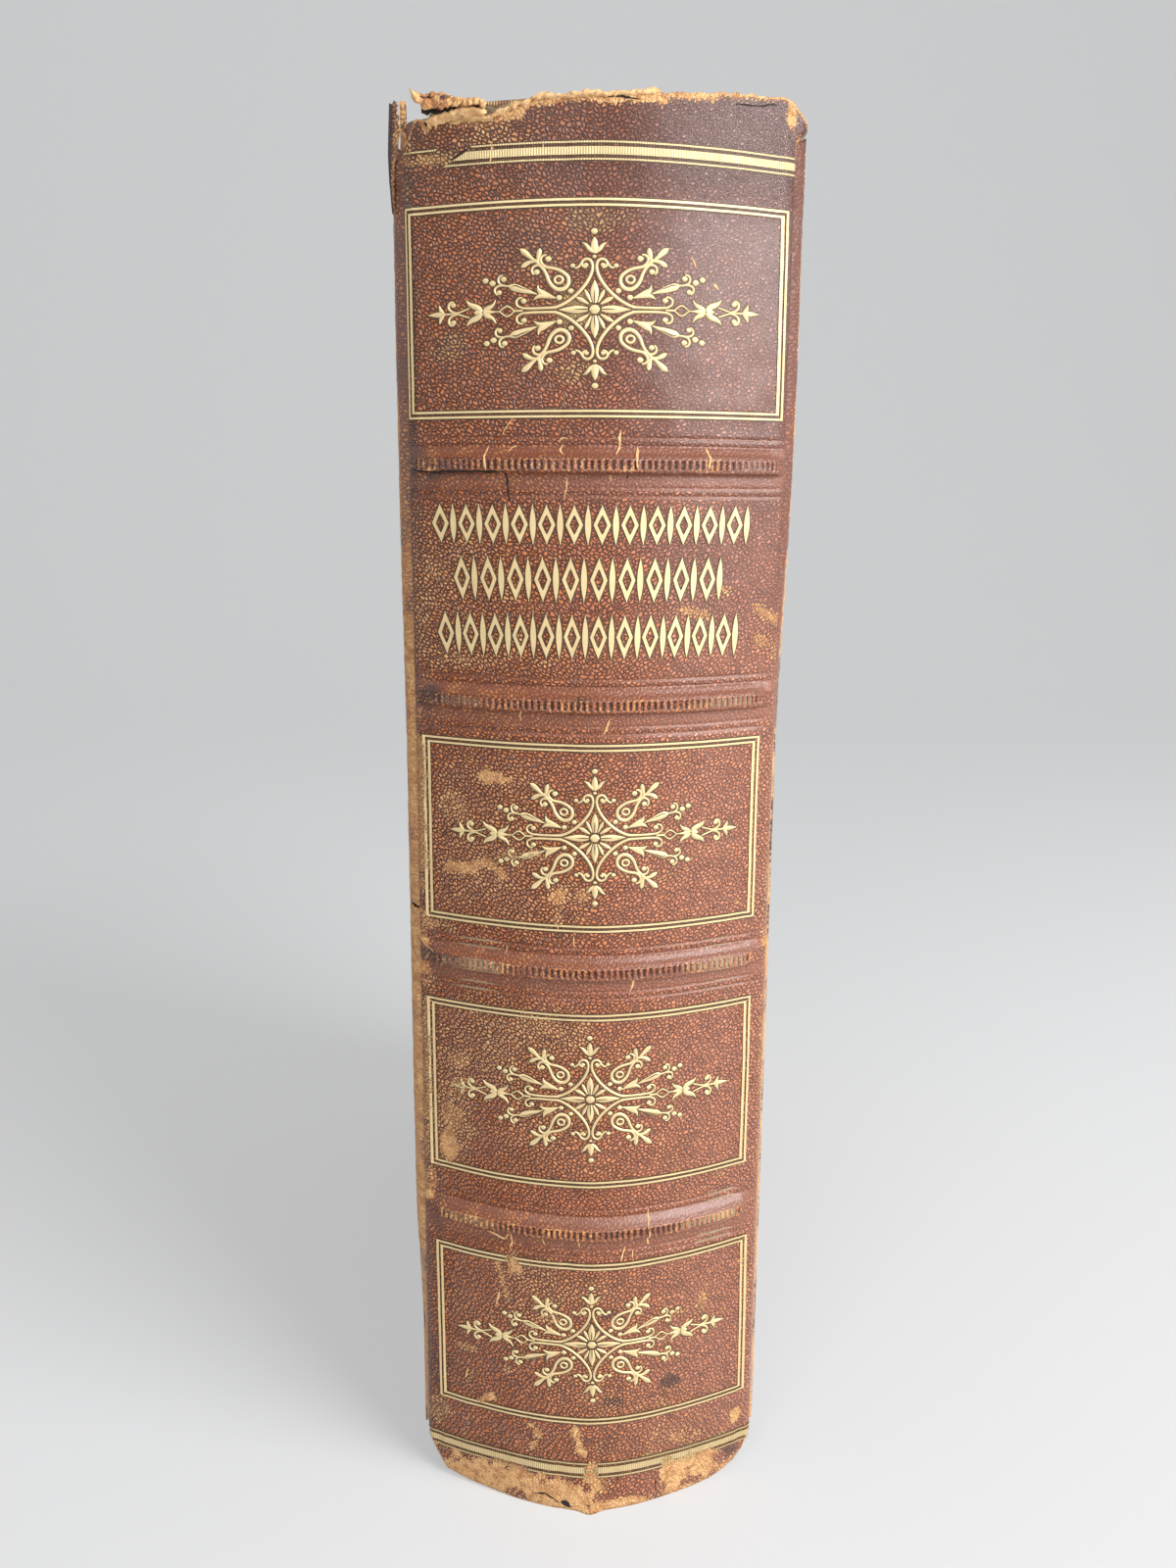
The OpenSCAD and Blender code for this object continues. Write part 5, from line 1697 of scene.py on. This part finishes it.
@dataclass
class TornHead:
    """The curled flap, the torn fibre and the painted shade of the hollow under it, the standing sliver and the
    cracks.
    """

    form: SpineForm
    wear: WearMap
    line_step: float = 0.3
    taper: float = 0.9
    crack_out: float = 0.02
    flap_from: float = -26.9
    flap_long: float = 9.9
    flap_thickness: float = 0.5
    hollow_thickness: float = 0.15
    sliver_foot: float = 219.5
    sliver_high: float = 15.8
    sliver_thickness: float = 0.25
    shake: float = 0.09
    flap_top: tuple = ((0, 0.21, 0.42, 0.62, 0.94, 1), (234.8, 235.1, 234.9, 234.2, 233.7, 233.1))
    flap_low: tuple = (
        (0, 0.06, 0.14, 0.27, 0.38, 0.43, 0.94, 1),
        (234.6, 234.1, 233.1, 233.0, 232.5, 233.05, 233.05, 232.8),
    )
    flap_holes: tuple = (
        (0.17, 0.76, 0.10, 0.10), (0.42, 0.66, 0.06, 0.11), (0.54, 0.5, 0.04, 0.08), (0.03, 0.45, 0.02, 0.3),
    )
    under_flap: tuple = (
        (0, 0.1, 0.14, 0.3, 0.38, 0.6, 0.8, 1),
        (232.6, 232.3, 232.6, 232.35, 232.2, 232.25, 232.65, 232.9),
    )
    in_corner: tuple = ((0, 0.5, 1), (229.6, 229.4, 230.6))
    sliver_outer: tuple = ((219.5, 224, 228, 231, 235.3), (-31.95, -32.3, -32.4, -32.3, -32.1))
    sliver_inner: tuple = (
        (219.5, 224, 226.5, 229, 231.5, 235.3), (-31.6, -31.75, -31.3, -30.75, -30.5, -30.95),
    )
    flap_fibre: tuple = ((-26, 231.4), (-23.5, 232.3), (-21, 232.6), (-18.6, 232.4), (-17, 231.6))
    edge_fibre: tuple = (-26.6, 9)
    flaked: tuple = (
        (((-17.2, 184.6), (-17.4, 183.2), (-16.8, 181.0)), 0.28),
        (((-13.9, 183.6), (-13.2, 184.4), (-12.6, 184.6)), 0.22),
        (((3.2, 187.0), (3.0, 185.8), (3.3, 184.4), (2.7, 183.2)), 0.3),
        (((5.8, 184.6), (5.6, 182.8), (5.9, 181.2)), 0.3),
        (((16.6, 184.6), (17.0, 183.0), (16.9, 181.2)), 0.3),
        (((-5.6, 184.9), (-6.0, 183.9), (-5.4, 183.3)), 0.3),
        (((-4.8, 185.6), (-5.6, 185.9), (-6.1, 185.2)), 0.2),
        (((-14.4, 51.9), (-14.0, 50.2), (-14.4, 48.8)), 0.3),
        (((-8.8, 51.9), (-8.4, 50.8), (-8.0, 50.6)), 0.3), (((9.6, 53.8), (9.4, 52.4), (9.9, 50.4)), 0.26),
        (((9.4, 57.4), (9.6, 55.6), (9.5, 54.0)), 0.2), (((5.6, 50.8), (5.2, 49.4), (5.1, 47.8)), 0.25),
        (((-2.6, 51.8), (-2.2, 50.6)), 0.25), (((2.0, 142.8), (1.6, 141.3), (1.3, 140.0)), 0.22),
        (((-11.8, 143.8), (-12.4, 143.0), (-12.0, 141.9)), 0.26), (((-3.6, 106.6), (-3.4, 104.6)), 0.24),
        (((6.2, 99.6), (6.3, 98.2), (6.0, 96.8)), 0.3),
        (((-5.0, 180.0), (-4.9, 178.4), (-5.1, 176.4)), 0.16), (((1.6, 180.4), (1.8, 179.2)), 0.18),
        (((-16.4, 227.8), (-16.3, 226.2), (-16.5, 224.8)), 0.3), (((-8.6, 227.4), (-8.7, 226.2)), 0.24),
        (((-14.8, 104.2), (-14.9, 102.6)), 0.16), (((14.6, 104.6), (14.7, 103.2)), 0.16),
        (((-29.6, 103.6), (-28.8, 102.2), (-26.8, 101.6)), 0.2),
        (((-13.2, 189.0), (-14.2, 187.4), (-14.8, 186.0)), 0.14),
        (((-18.6, 51.4), (-17.2, 51.2), (-15.4, 50.8), (-14.8, 51.9)), 0.34),
        (((6.8, 50.0), (6.9, 48.2)), 0.2), (((-22.4, 23.6), (-22.8, 21.2)), 0.3),
        (((-16.4, 40.6), (-16.9, 37.4)), 0.3), (((-2.6, 15.6), (-3.0, 13.6)), 0.5),
        (((13.8, 212.2), (14.6, 210.6)), 0.2), (((17.4, 208.6), (18.2, 207.8)), 0.5),
    )
    open: tuple = (
        (((-14.6, 181.0), (-14.2, 179.4), (-13.9, 177.8), (-13.6, 176.2)), 0.30),
        (((4.2, 180.6), (4.3, 179.6)), 0.3),
        (((-20.6, 224.9), (-22.6, 226.2), (-20.8, 227.2), (-19.6, 227.6)), 0.30),
        (((-9.8, 1.9), (-8.0, 2.4), (-6.4, 1.9), (-5.2, 1.1)), 0.26),
        (((-5.2, 1.3), (-4.2, 1.1), (-3.4, 0.6)), 0.9), (((11.9, 4.4), (11.6, 2.6), (12.1, 1.6)), 0.2),
        (((-14.8, 47.9), (-14.7, 46.2)), 0.26), (((4.2, 48.2), (4.1, 46.7)), 0.2),
        (((6.4, 48.0), (6.5, 46.8)), 0.16), (((5.0, 9.4), (4.9, 7.4), (5.0, 5.0)), 0.24),
        (((-15.4, 9.2), (-15.6, 6.4)), 0.2), (((-4.9, 48.2), (-4.8, 46.8)), 0.14),
        (((14.0, 16.2), (14.4, 15.2)), 0.2), (((-20.8, 92.6), (-20.6, 91.4)), 0.16),
        (((-18, 233.2), (-14, 232.6), (-12.6, 232.8)), 0.10),
        (((0.6, 233.5), (3, 233.8), (5.4, 233.6)), 0.34), (((20, 233.9), (24, 234.4), (27, 234.8)), 0.22),
        (((-29.3, 180.9), (-20, 180.6), (-15, 180.5)), 0.34),
    )

    def _strip(self, line: tuple, width: float, across: int, out: float) -> bpy.types.Mesh:
        """Makes a narrow ragged sheet along a line drawn on the spine.

        Args:
            line: places to the side and heights, in millimetres.
            width: its width.
            across: how many faces it has across.
            out: how far its middle stands out.

        Returns:
            The mesh.
        """
        form = self.form
        marks = np.array([(form.width_at(x, z), z) for x, z in line])
        run = along(marks)
        length = run[-1]
        mesh = sheet_mesh("strip", max(4, int(length / self.line_step)), across)
        flat = points_of(mesh)
        side = flat[:, 1]
        t = (flat[:, 0] + 0.5) * length
        u, z = np.interp(t, run, marks[:, 0]), np.interp(t, run, marks[:, 1])
        even = np.linspace(0, length, 200)
        du, dz = (np.gradient(np.interp(even, run, marks[:, k])) for k in range(2))
        slope = np.hypot(du, dz) + 1e-9
        nu, nz = (np.interp(t, even, part / slope) for part in (-dz, du))
        wide = width * (0.55 + 0.9 * form.speckle.at(t * 2.2, u + z, 1.0))
        wide = wide * np.sqrt(np.clip(np.minimum(t, length - t) / self.taper, 0.05, 1))
        shift = side * wide + (form.speckle.at(t, z * 0 + 9, 1.1) - 0.5) * 0.5
        u, z = u + nu * shift, z + nz * shift
        bulge = out * (1 - (2 * np.abs(side)) ** 2)
        set_points(mesh, form.place(u, z, self.crack_out + bulge))
        record_spread(mesh, u, z, self.wear.at(u, z))
        return mesh

    def build_cracks(self, tan: bpy.types.Material, dark: bpy.types.Material) -> list[bpy.types.Object]:
        """Builds the splits, light where the skin has flaked, and dark where it is open, a painted shade of the
        opening.

        Args:
            tan: finish of the flaked lines.
            dark: finish of the open lines.

        Returns:
            The pieces.
        """
        kinds = (("flaked_cracks", self.flaked, tan, 0.05), ("open_cracks", self.open, dark, 0.0))
        pieces = []
        for name, lines, finish, out in kinds:
            parts = [self._strip(line, width, 2, out) for line, width in lines]
            pieces.append(add_to_spine(name, joined(name, parts), finish))
        return pieces

    def build_flap(self, material: bpy.types.Material) -> bpy.types.Object:
        """Builds the flap of skin that curls off the head.

        Args:
            material: the worn leather.

        Returns:
            The piece.
        """
        form = self.form
        mesh = sheet_mesh("head_flap", 64, 16)
        flat = points_of(mesh)
        t, s = flat[:, 0] + 0.5, flat[:, 1] + 0.5
        top, low = np.interp(t, *self.flap_top), np.interp(t, *self.flap_low)
        ragged = (form.speckle.at(t * 30, s * 4, 1.0) - 0.5) * 0.5
        x = self.flap_from + self.flap_long * t + ragged * (1 - t) * 0.5
        z = low + (top - low) * s + ragged * np.abs(s - 0.5) * 0.9
        u = form.widths_at(x, z)
        out = 1.5 * (1 - t) ** 1.2 + 0.45 + (form.speckle.at(t * 20, s * 6, 1.4) - 0.5) * 0.5
        set_points(mesh, form.place(u, z, out))
        wear = self.wear.at(u, z)
        rubbed = np.clip(0.72 + 0.5 * (form.speckle.at(u, z, 0.9) - 0.5), 0, 1)
        grime = np.zeros_like(u)
        # The holes are painted dark and left unrubbed, as painted shade from under the flap.
        for place, level, long, high in self.flap_holes:
            inside = 1 - ease(np.hypot((t - place) / long, (s - level) / high), 0.8, 1.1)
            rubbed = rubbed * (1 - inside)
            grime = np.maximum(grime, inside)
        wear[:, Wear.RUBBED], wear[:, Wear.SMOOTH], wear[:, Wear.GRIME] = rubbed, 0.7, grime
        record_spread(mesh, u, z, wear)
        thicken(mesh, self.flap_thickness)
        return add_to_spine("head_flap", mesh, material)

    def _patch(
        self, steps: int, ends: tuple[float, float], low_line: tuple, tops: tuple[float, float], out: float
    ) -> bpy.types.Mesh:
        """Makes a dark patch of painted shade with a ragged lower edge, between two places to the side."""
        form = self.form
        mesh = sheet_mesh("hollow", steps, 6)
        flat = points_of(mesh)
        t, s = flat[:, 0] + 0.5, flat[:, 1] + 0.5
        low = np.interp(t, *low_line) + (form.speckle.at(t * steps / 4, t * 0, 1.0) - 0.5) * 0.35
        z = low + (tops[0] + (tops[1] - tops[0]) * t - low) * s
        u = form.widths_at(ends[0] + (ends[1] - ends[0]) * t, z)
        set_points(mesh, form.place(u, z, out + 0.7 * (1 - t) * (out > 0)))
        return mesh

    def build_hollow(self, material: bpy.types.Material) -> bpy.types.Object:
        """Builds dark sheets of painted shade under the flap and in the hollow that the tear has opened.

        Args:
            material: the dark finish.

        Returns:
            The piece.
        """
        patches = [
            self._patch(64, (-26.5, -18.0), self.under_flap, (234.4, 233.2), 0.35),
            self._patch(20, (-27.6, -25.4), self.in_corner, (231.9, 232.2), -0.9),
        ]
        mesh = joined("head_hollow", patches)
        thicken(mesh, self.hollow_thickness, settle=False)
        return add_to_spine("head_hollow", mesh, material)

    def build_sliver(self, material: bpy.types.Material) -> bpy.types.Object:
        """Builds the sliver of leather that stands off the back cover beside the head.

        Args:
            material: the worn leather.

        Returns:
            The piece.
        """
        noise = self.form.speckle
        mesh = sheet_mesh("standing_sliver", 8, 60)
        flat = points_of(mesh)
        s, t = flat[:, 0] + 0.5, flat[:, 1] + 0.5
        z = self.sliver_foot + self.sliver_high * t
        outer, inner = np.interp(z, *self.sliver_outer), np.interp(z, *self.sliver_inner)
        ragged = (noise.at(z * 0 + 3, z, 0.8) - 0.5) * 0.35
        x = outer + (inner + ragged - outer) * s
        z = z + (noise.at(s * 9, s * 0, 1.0) - 0.5) * 0.9 * (t > 0.98)
        y = self.form.fillet_y + 0.4 - 0.9 * s * (0.3 + 0.7 * t) + (noise.at(z, s * 3, 2.0) - 0.5) * 0.5
        set_points(mesh, np.stack([x, y, z], axis=-1) * MM)
        tan = ease(s, 0.35, 0.62)
        wear = np.zeros((len(x), len(Wear)))
        wear[:, Wear.RUBBED] = np.clip(tan * (0.75 + 0.4 * (noise.at(s * 6, z, 0.8) - 0.5)), 0, 1)
        wear[:, Wear.GRIME] = 1 - tan
        record_spread(mesh, 60 + s * 2, z, wear)
        thicken(mesh, self.sliver_thickness)
        piece = add_piece("standing_sliver", mesh, material)
        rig.ride(piece, "back_cover")
        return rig.slot(piece, "cover_leather")

    def build_fibre(self, material: bpy.types.Material) -> bpy.types.Object:
        """Builds the mass of torn fibre that stands along the head where the skin is gone.

        Args:
            material: the fibre's finish.

        Returns:
            The piece.
        """
        start, end = self.edge_fibre
        edge = tuple((x, z) for x, z in self.form.head_points if start < x < end)
        parts = []
        for k, (line, width, out) in enumerate(((self.flap_fibre, 1.7, 0.9), (edge, 0.8, 0.45))):
            part = self._strip(line, width, 6, out)
            points = points_of(part)
            shake = np.random.default_rng(5 + k).normal(0, self.shake * MM, points.shape)
            set_points(part, points + shake)
            parts.append(part)
        return add_to_spine("torn_fibre", joined("torn_fibre", parts), material)


# Joints, covers and pages


@dataclass
class JointLeather:
    """The strip of leather over a joint, which bends between the spine and its cover."""

    side: Side
    ranges: tuple
    bulge: float = 0.0
    worn: float = 0.0
    head_bulge: float = 1.75
    opens_from: float = 128.0
    opens_to: float = 193.0
    thickness: float = 0.3
    columns: int = 14
    row: float = 0.7
    bend_height: float = 0.118

    def __post_init__(self) -> None:
        """Takes the spine's corner and the cover's face and edge from the frame."""
        low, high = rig.box(f"{self.side.label}_cover_leather")
        _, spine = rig.box("spine_leather")
        self.half, self.back = spine.x / MM, spine.y / MM
        self.face, self.front = max(abs(low.x), abs(high.x)) / MM, low.y / MM

    def _shape(self, speckle: Speckle, t: np.ndarray, s: np.ndarray, z: np.ndarray) -> np.ndarray:
        """Points of the strip in metres, bent from the spine over the joint to the cover."""
        half, back, face, front = self.half, self.back, self.face, self.front
        path = (
            (half - 0.55, back - 1.6), (half + 0.04, back - 0.5), (half + 0.1, back + 0.02),
            (half + 0.12, back + 0.35), (face - 0.42, front + 0.32), (face - 0.1, front + 0.85),
            (face + 0.06, front + 1.5), (face + 0.06, front + 2.8),
        )
        x, y = (np.interp(t * (len(path) - 1), range(len(path)), marks) for marks in zip(*path))
        worn = speckle.at(z * 0 + 5, z, 3.0) - 0.5
        rag = speckle.at(t * 9, z, 1.2) - 0.5
        opened = ease(z, self.opens_from, self.opens_to)
        swell = self.bulge * ease(z, 24, 60) * (1 - opened) + self.head_bulge * opened
        swell = swell * (0.92 + 0.16 * speckle.at(z * 0 + 2, z, 14.0))
        x = x + 0.12 * rag * (t > 0.2) * (t < 0.8) + swell * np.sin(np.clip(t, 0, 1) * math.pi) ** 0.8
        y = y + 0.9 * worn * t**3
        z = z + rag * 1.2 * ease(np.abs(s - 0.5), 0.48, 0.5)
        return np.stack([x * self.side.value, y, z], axis=-1) * MM

    def _wear(self, speckle: Speckle, t: np.ndarray, z: np.ndarray) -> np.ndarray:
        """The wear of the strip, rubbed to tan on the side of the cover."""
        rubbed = self.worn * (1 - 0.6 * ease(z, 150, 190)) * ease(speckle.layered(t * 4, z, 9.0), 0.2, 0.55)
        edge = ease(speckle.layered(t * 4, z, 3.6), 0.25, 0.7) * ease(t, 0.35, 0.6)
        wear = np.zeros((len(t), len(Wear)))
        wear[:, Wear.RUBBED] = np.clip(0.05 + rubbed + 0.95 * edge, 0, 1)
        wear[:, Wear.SMOOTH] = 0.6 * (1 - ease(t, 0.4, 0.7))
        wear[:, Wear.GRIME] = 0.35
        return wear

    def build(self, material: bpy.types.Material, speckle: Speckle) -> list[bpy.types.Object]:
        """Builds the strip over each unbroken stretch of the joint.

        Args:
            material: its leather.
            speckle: noise for its ragged ends.

        Returns:
            The pieces.
        """
        sign, height = self.side.value, self.bend_height
        pieces = []
        for k, (start, end) in enumerate(self.ranges, 1):
            name = f"{self.side.label}_joint_leather_{k}"
            mesh = sheet_mesh(name, self.columns, int((end - start) / self.row))
            flat = points_of(mesh)
            t, s = flat[:, 0] + 0.5, flat[:, 1] + 0.5
            points = self._shape(speckle, t, s, start + (end - start) * s)
            set_points(mesh, points)
            z = points[:, 2] / MM
            record_spread(mesh, 40 + t * 4, z, self._wear(speckle, t, z))
            thicken(mesh, self.thickness, side=sign)
            piece = add_piece(name, mesh, material)
            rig.blend(
                piece,
                "book_block",
                self.side.body,
                start=(sign * (self.half + 0.05) * MM, (self.back - 0.1) * MM, height),
                end=(sign * (self.face - 0.05) * MM, (self.front + 0.6) * MM, height),
            )
            pieces.append(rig.slot(piece, "cover_leather"))
        return pieces


def dress_node(node: str, material: bpy.types.Material, slot: str) -> None:
    """Gives one CAD node its material and its slot."""
    solid = frame["nodes"][node]
    solid.data.materials.clear()
    solid.data.materials.append(material)
    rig.slot(solid, slot)
    LOG.info("%s: dressed", node)


@dataclass
class Covers:
    """Both covers: leather over board with a pastedown inside."""

    leather: CoverSkin = CoverSkin()
    board: PlainCoat = PlainCoat("grey_board", (0.30, 0.25, 0.18), (0.24, 0.2, 0.14))

    def dress(self, paper: bpy.types.Material) -> None:
        """Gives the solids of the frame their finishes."""
        leather, board = self.leather.make(), self.board.make()
        for side in Side:
            dress_node(f"{side.label}_cover_leather", leather, "cover_leather")
            dress_node(f"{side.label}_board", board, "board")
            dress_node(f"{side.label}_pastedown", paper, "end_paper")


@dataclass
class Pages:
    """The block of pages with its endpapers, endbands, cords, mull and card."""

    edges: PageEdges = PageEdges()
    silk: WoundSilk = WoundSilk()
    cord: PlainCoat = PlainCoat("hemp_cord", (0.50, 0.40, 0.23), (0.36, 0.27, 0.15), 2500, 0.9, 0.0002)
    mull: PlainCoat = PlainCoat("mull_cloth", (0.58, 0.51, 0.38), (0.44, 0.37, 0.26), 1800, 0.9, 0.0001)
    card: PlainCoat = PlainCoat("spine_card", (0.34, 0.26, 0.16), (0.25, 0.18, 0.11), 700, 0.9, 0.0001)

    def dress(self, paper: bpy.types.Material) -> None:
        """Gives the solids of the frame their finishes."""
        for slot, finish, nodes in (
            ("page_paper", self.edges.make(), ("text_block",)),
            ("end_paper", paper, ("front_free_endpaper", "back_free_endpaper")),
            ("endband_silk", self.silk.make(), ("head_endband", "tail_endband")),
            ("hemp_cord", self.cord.make(), ("sewing_cords",)),
            ("mull_cloth", self.mull.make(), ("spine_mull",)),
            ("spine_card", self.card.make(), ("spine_liner", *(f"band_core_{k}" for k in range(1, 5)))),
        ):
            for node in nodes:
                dress_node(node, finish, slot)


# Studio


@dataclass
class Studio:
    """The photograph's camera over a pale floor in soft light from the right."""

    focal: float = 1409.6
    frame_height: float = 1600.0
    sensor: float = 36.0
    eye: tuple = (-6.36, -295.45, 177.8)
    heading: float = 1.33
    pitch: float = 11.96
    roll: float = 0.40
    lit_place: tuple = (0, -0.05, 0.12)
    pale: tuple = (0.78, 0.79, 0.80, 1)
    sky: tuple = (0.80, 0.81, 0.82, 1)
    glow: tuple = (0.80, 0.78, 0.76, 1)
    glow_strength: float = 0.35
    floor_wide: float = 7.0
    floor_run: float = 6.2
    floor_from: float = -2.0
    bend_from: float = 0.75
    bend: float = 0.9

    def build_camera(self) -> bpy.types.Object:
        """Builds the camera where the photograph was taken from.

        Returns:
            The camera.
        """
        heading, pitch, roll = (math.radians(a) for a in (self.heading, self.pitch, self.roll))
        level = math.cos(pitch)
        forward = Vector((math.sin(heading) * level, math.cos(heading) * level, -math.sin(pitch)))
        right = forward.cross(Vector((0, 0, 1))).normalized()
        up = right.cross(forward)
        tilted_right = right * math.cos(roll) + up * math.sin(roll)
        tilted_up = up * math.cos(roll) - right * math.sin(roll)
        data = bpy.data.cameras.new("camera")
        data.sensor_width = self.sensor
        data.lens = self.focal / self.frame_height * self.sensor
        data.clip_start, data.clip_end = 0.01, 20.0
        camera = bpy.data.objects.new("camera", data)
        turn = Matrix((tilted_right, tilted_up, -forward)).transposed().to_4x4()
        camera.matrix_world = Matrix.Translation(Vector(self.eye) * MM) @ turn
        bpy.context.scene.collection.objects.link(camera)
        bpy.context.scene.camera = camera
        return camera

    def _softbox(self, name: str, place: tuple, size: tuple, power: float) -> None:
        """Hangs a rectangular light that faces the middle of the book.

        Args:
            name: its name.
            place: where it hangs, in metres.
            size: its width and height.
            power: in watts.
        """
        data = bpy.data.lights.new(name, "AREA")
        data.shape = "RECTANGLE"
        data.size, data.size_y = size
        data.energy = power
        light = bpy.data.objects.new(name, data)
        light.location = place
        light.rotation_mode = "QUATERNION"
        light.rotation_quaternion = (Vector(self.lit_place) - Vector(place)).to_track_quat("-Z", "Y")
        bpy.context.scene.collection.objects.link(light)

    def build_light(self) -> None:
        """Builds the soft lights and the pale surroundings."""
        self._softbox("right_softbox", (0.60, -0.52, 0.50), (0.6, 0.6), 11.8)
        self._softbox("front_fill", (-0.35, -0.9, 0.6), (0.4, 0.3), 2.4)
        g = Graph("studio", Nodes.WORLD)
        glow = g.node("ShaderNodeBackground", None, {0: self.glow, 1: self.glow_strength})
        sky = g.node("ShaderNodeBackground", None, {0: self.sky})
        mixed = g.node("ShaderNodeMixShader", None, {0: g.seen(), 1: glow.outputs[0], 2: sky.outputs[0]})
        bpy.context.scene.world = g.output(mixed)
        bpy.context.scene.view_settings.view_transform = "Standard"

    def build_floor(self) -> bpy.types.Object:
        """Builds the pale floor that runs up into a backdrop.

        Returns:
            The floor.
        """
        mesh = sheet_mesh("studio_floor", 1, 48)
        flat = points_of(mesh)
        run = (flat[:, 1] + 0.5) * self.floor_run + self.floor_from
        angle = np.clip((run - self.bend_from) / self.bend, 0, math.pi / 2)
        past = np.maximum(run - self.bend_from - self.bend * math.pi / 2, 0)
        y = np.minimum(run, self.bend_from) + self.bend * np.sin(angle)
        z = self.bend * (1 - np.cos(angle)) + past
        set_points(mesh, np.stack([flat[:, 0] * self.floor_wide, y, z], axis=-1))
        g = Graph("pale_floor")
        diffuse = g.node("ShaderNodeBsdfPrincipled", None, {"Base Color": self.pale, "Roughness": 0.7})
        glow = g.node("ShaderNodeEmission", None, {0: self.pale})
        sides = {0: g.seen() * 0.5, 1: diffuse.outputs[0], 2: glow.outputs[0]}
        mixed = g.node("ShaderNodeMixShader", None, sides)
        floor = add_piece("studio_floor", mesh, g.output(mixed))
        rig.stage(floor)
        return floor


def write_size() -> None:
    low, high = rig.bounds()
    with open(SIZE_FILE) as source:
        sizes = json.load(source)
    sizes.append([list(low), list(high)])
    with open(SIZE_FILE, "w") as target:
        json.dump(sizes, target)


def main() -> None:
    """Builds the pieces of the book in order and sets up the studio."""
    logging.basicConfig(level=logging.INFO, format="%(name)s %(message)s")
    with open(SIZE_FILE, "w") as target:
        json.dump([], target)
    write_size()
    form = SpineForm()
    wear = WearMap(form)
    skin = SpineSkin().make()
    fibre = PlainCoat("torn_fibre_tan", (0.66, 0.36, 0.15), (0.82, 0.54, 0.27), 1500, 0.9, 0.0002).make()
    # The near-black finish of the open splits and of the hollow under the torn head: painted shade.
    split_shade = PlainCoat("open_split", (0.010, 0.006, 0.005), (0.022, 0.012, 0.009), 1500, 0.9).make()
    tooling = ToolMark().make()
    gold, hatched = GoldLeaf().make(), GoldLeaf(hatch=0.38).make()
    spine = SpineLeather(form, wear)
    spine.build_skin(skin)
    spine.build_ribs(skin)
    gilding = Gilding(form, wear)
    for node in (*(f"panel_frame_{k}" for k in range(1, 5)), "title_rows"):
        gilding.build(node, gold, tooling)
    GoldStamps(form, wear).build(gold, tooling)
    for roll in ("head_roll", "tail_roll"):
        gilding.build(roll, hatched, tooling)
    head = TornHead(form, wear)
    head.build_cracks(fibre, split_shade)
    head.build_flap(skin)
    head.build_hollow(split_shade)
    head.build_sliver(skin)
    head.build_fibre(fibre)
    JointLeather(Side.FRONT, ((9.0, 231.0),)).build(skin, form.speckle)
    JointLeather(Side.BACK, ((9.0, 108.0), (108.8, 228.5)), 1.25, 0.7).build(skin, form.speckle)
    endpaper = OldPaper().make()
    Covers().dress(endpaper)
    Pages().dress(endpaper)
    studio = Studio()
    studio.build_floor()
    studio.build_light()
    studio.build_camera()
    write_size()


if __name__ == "__main__":
    main()
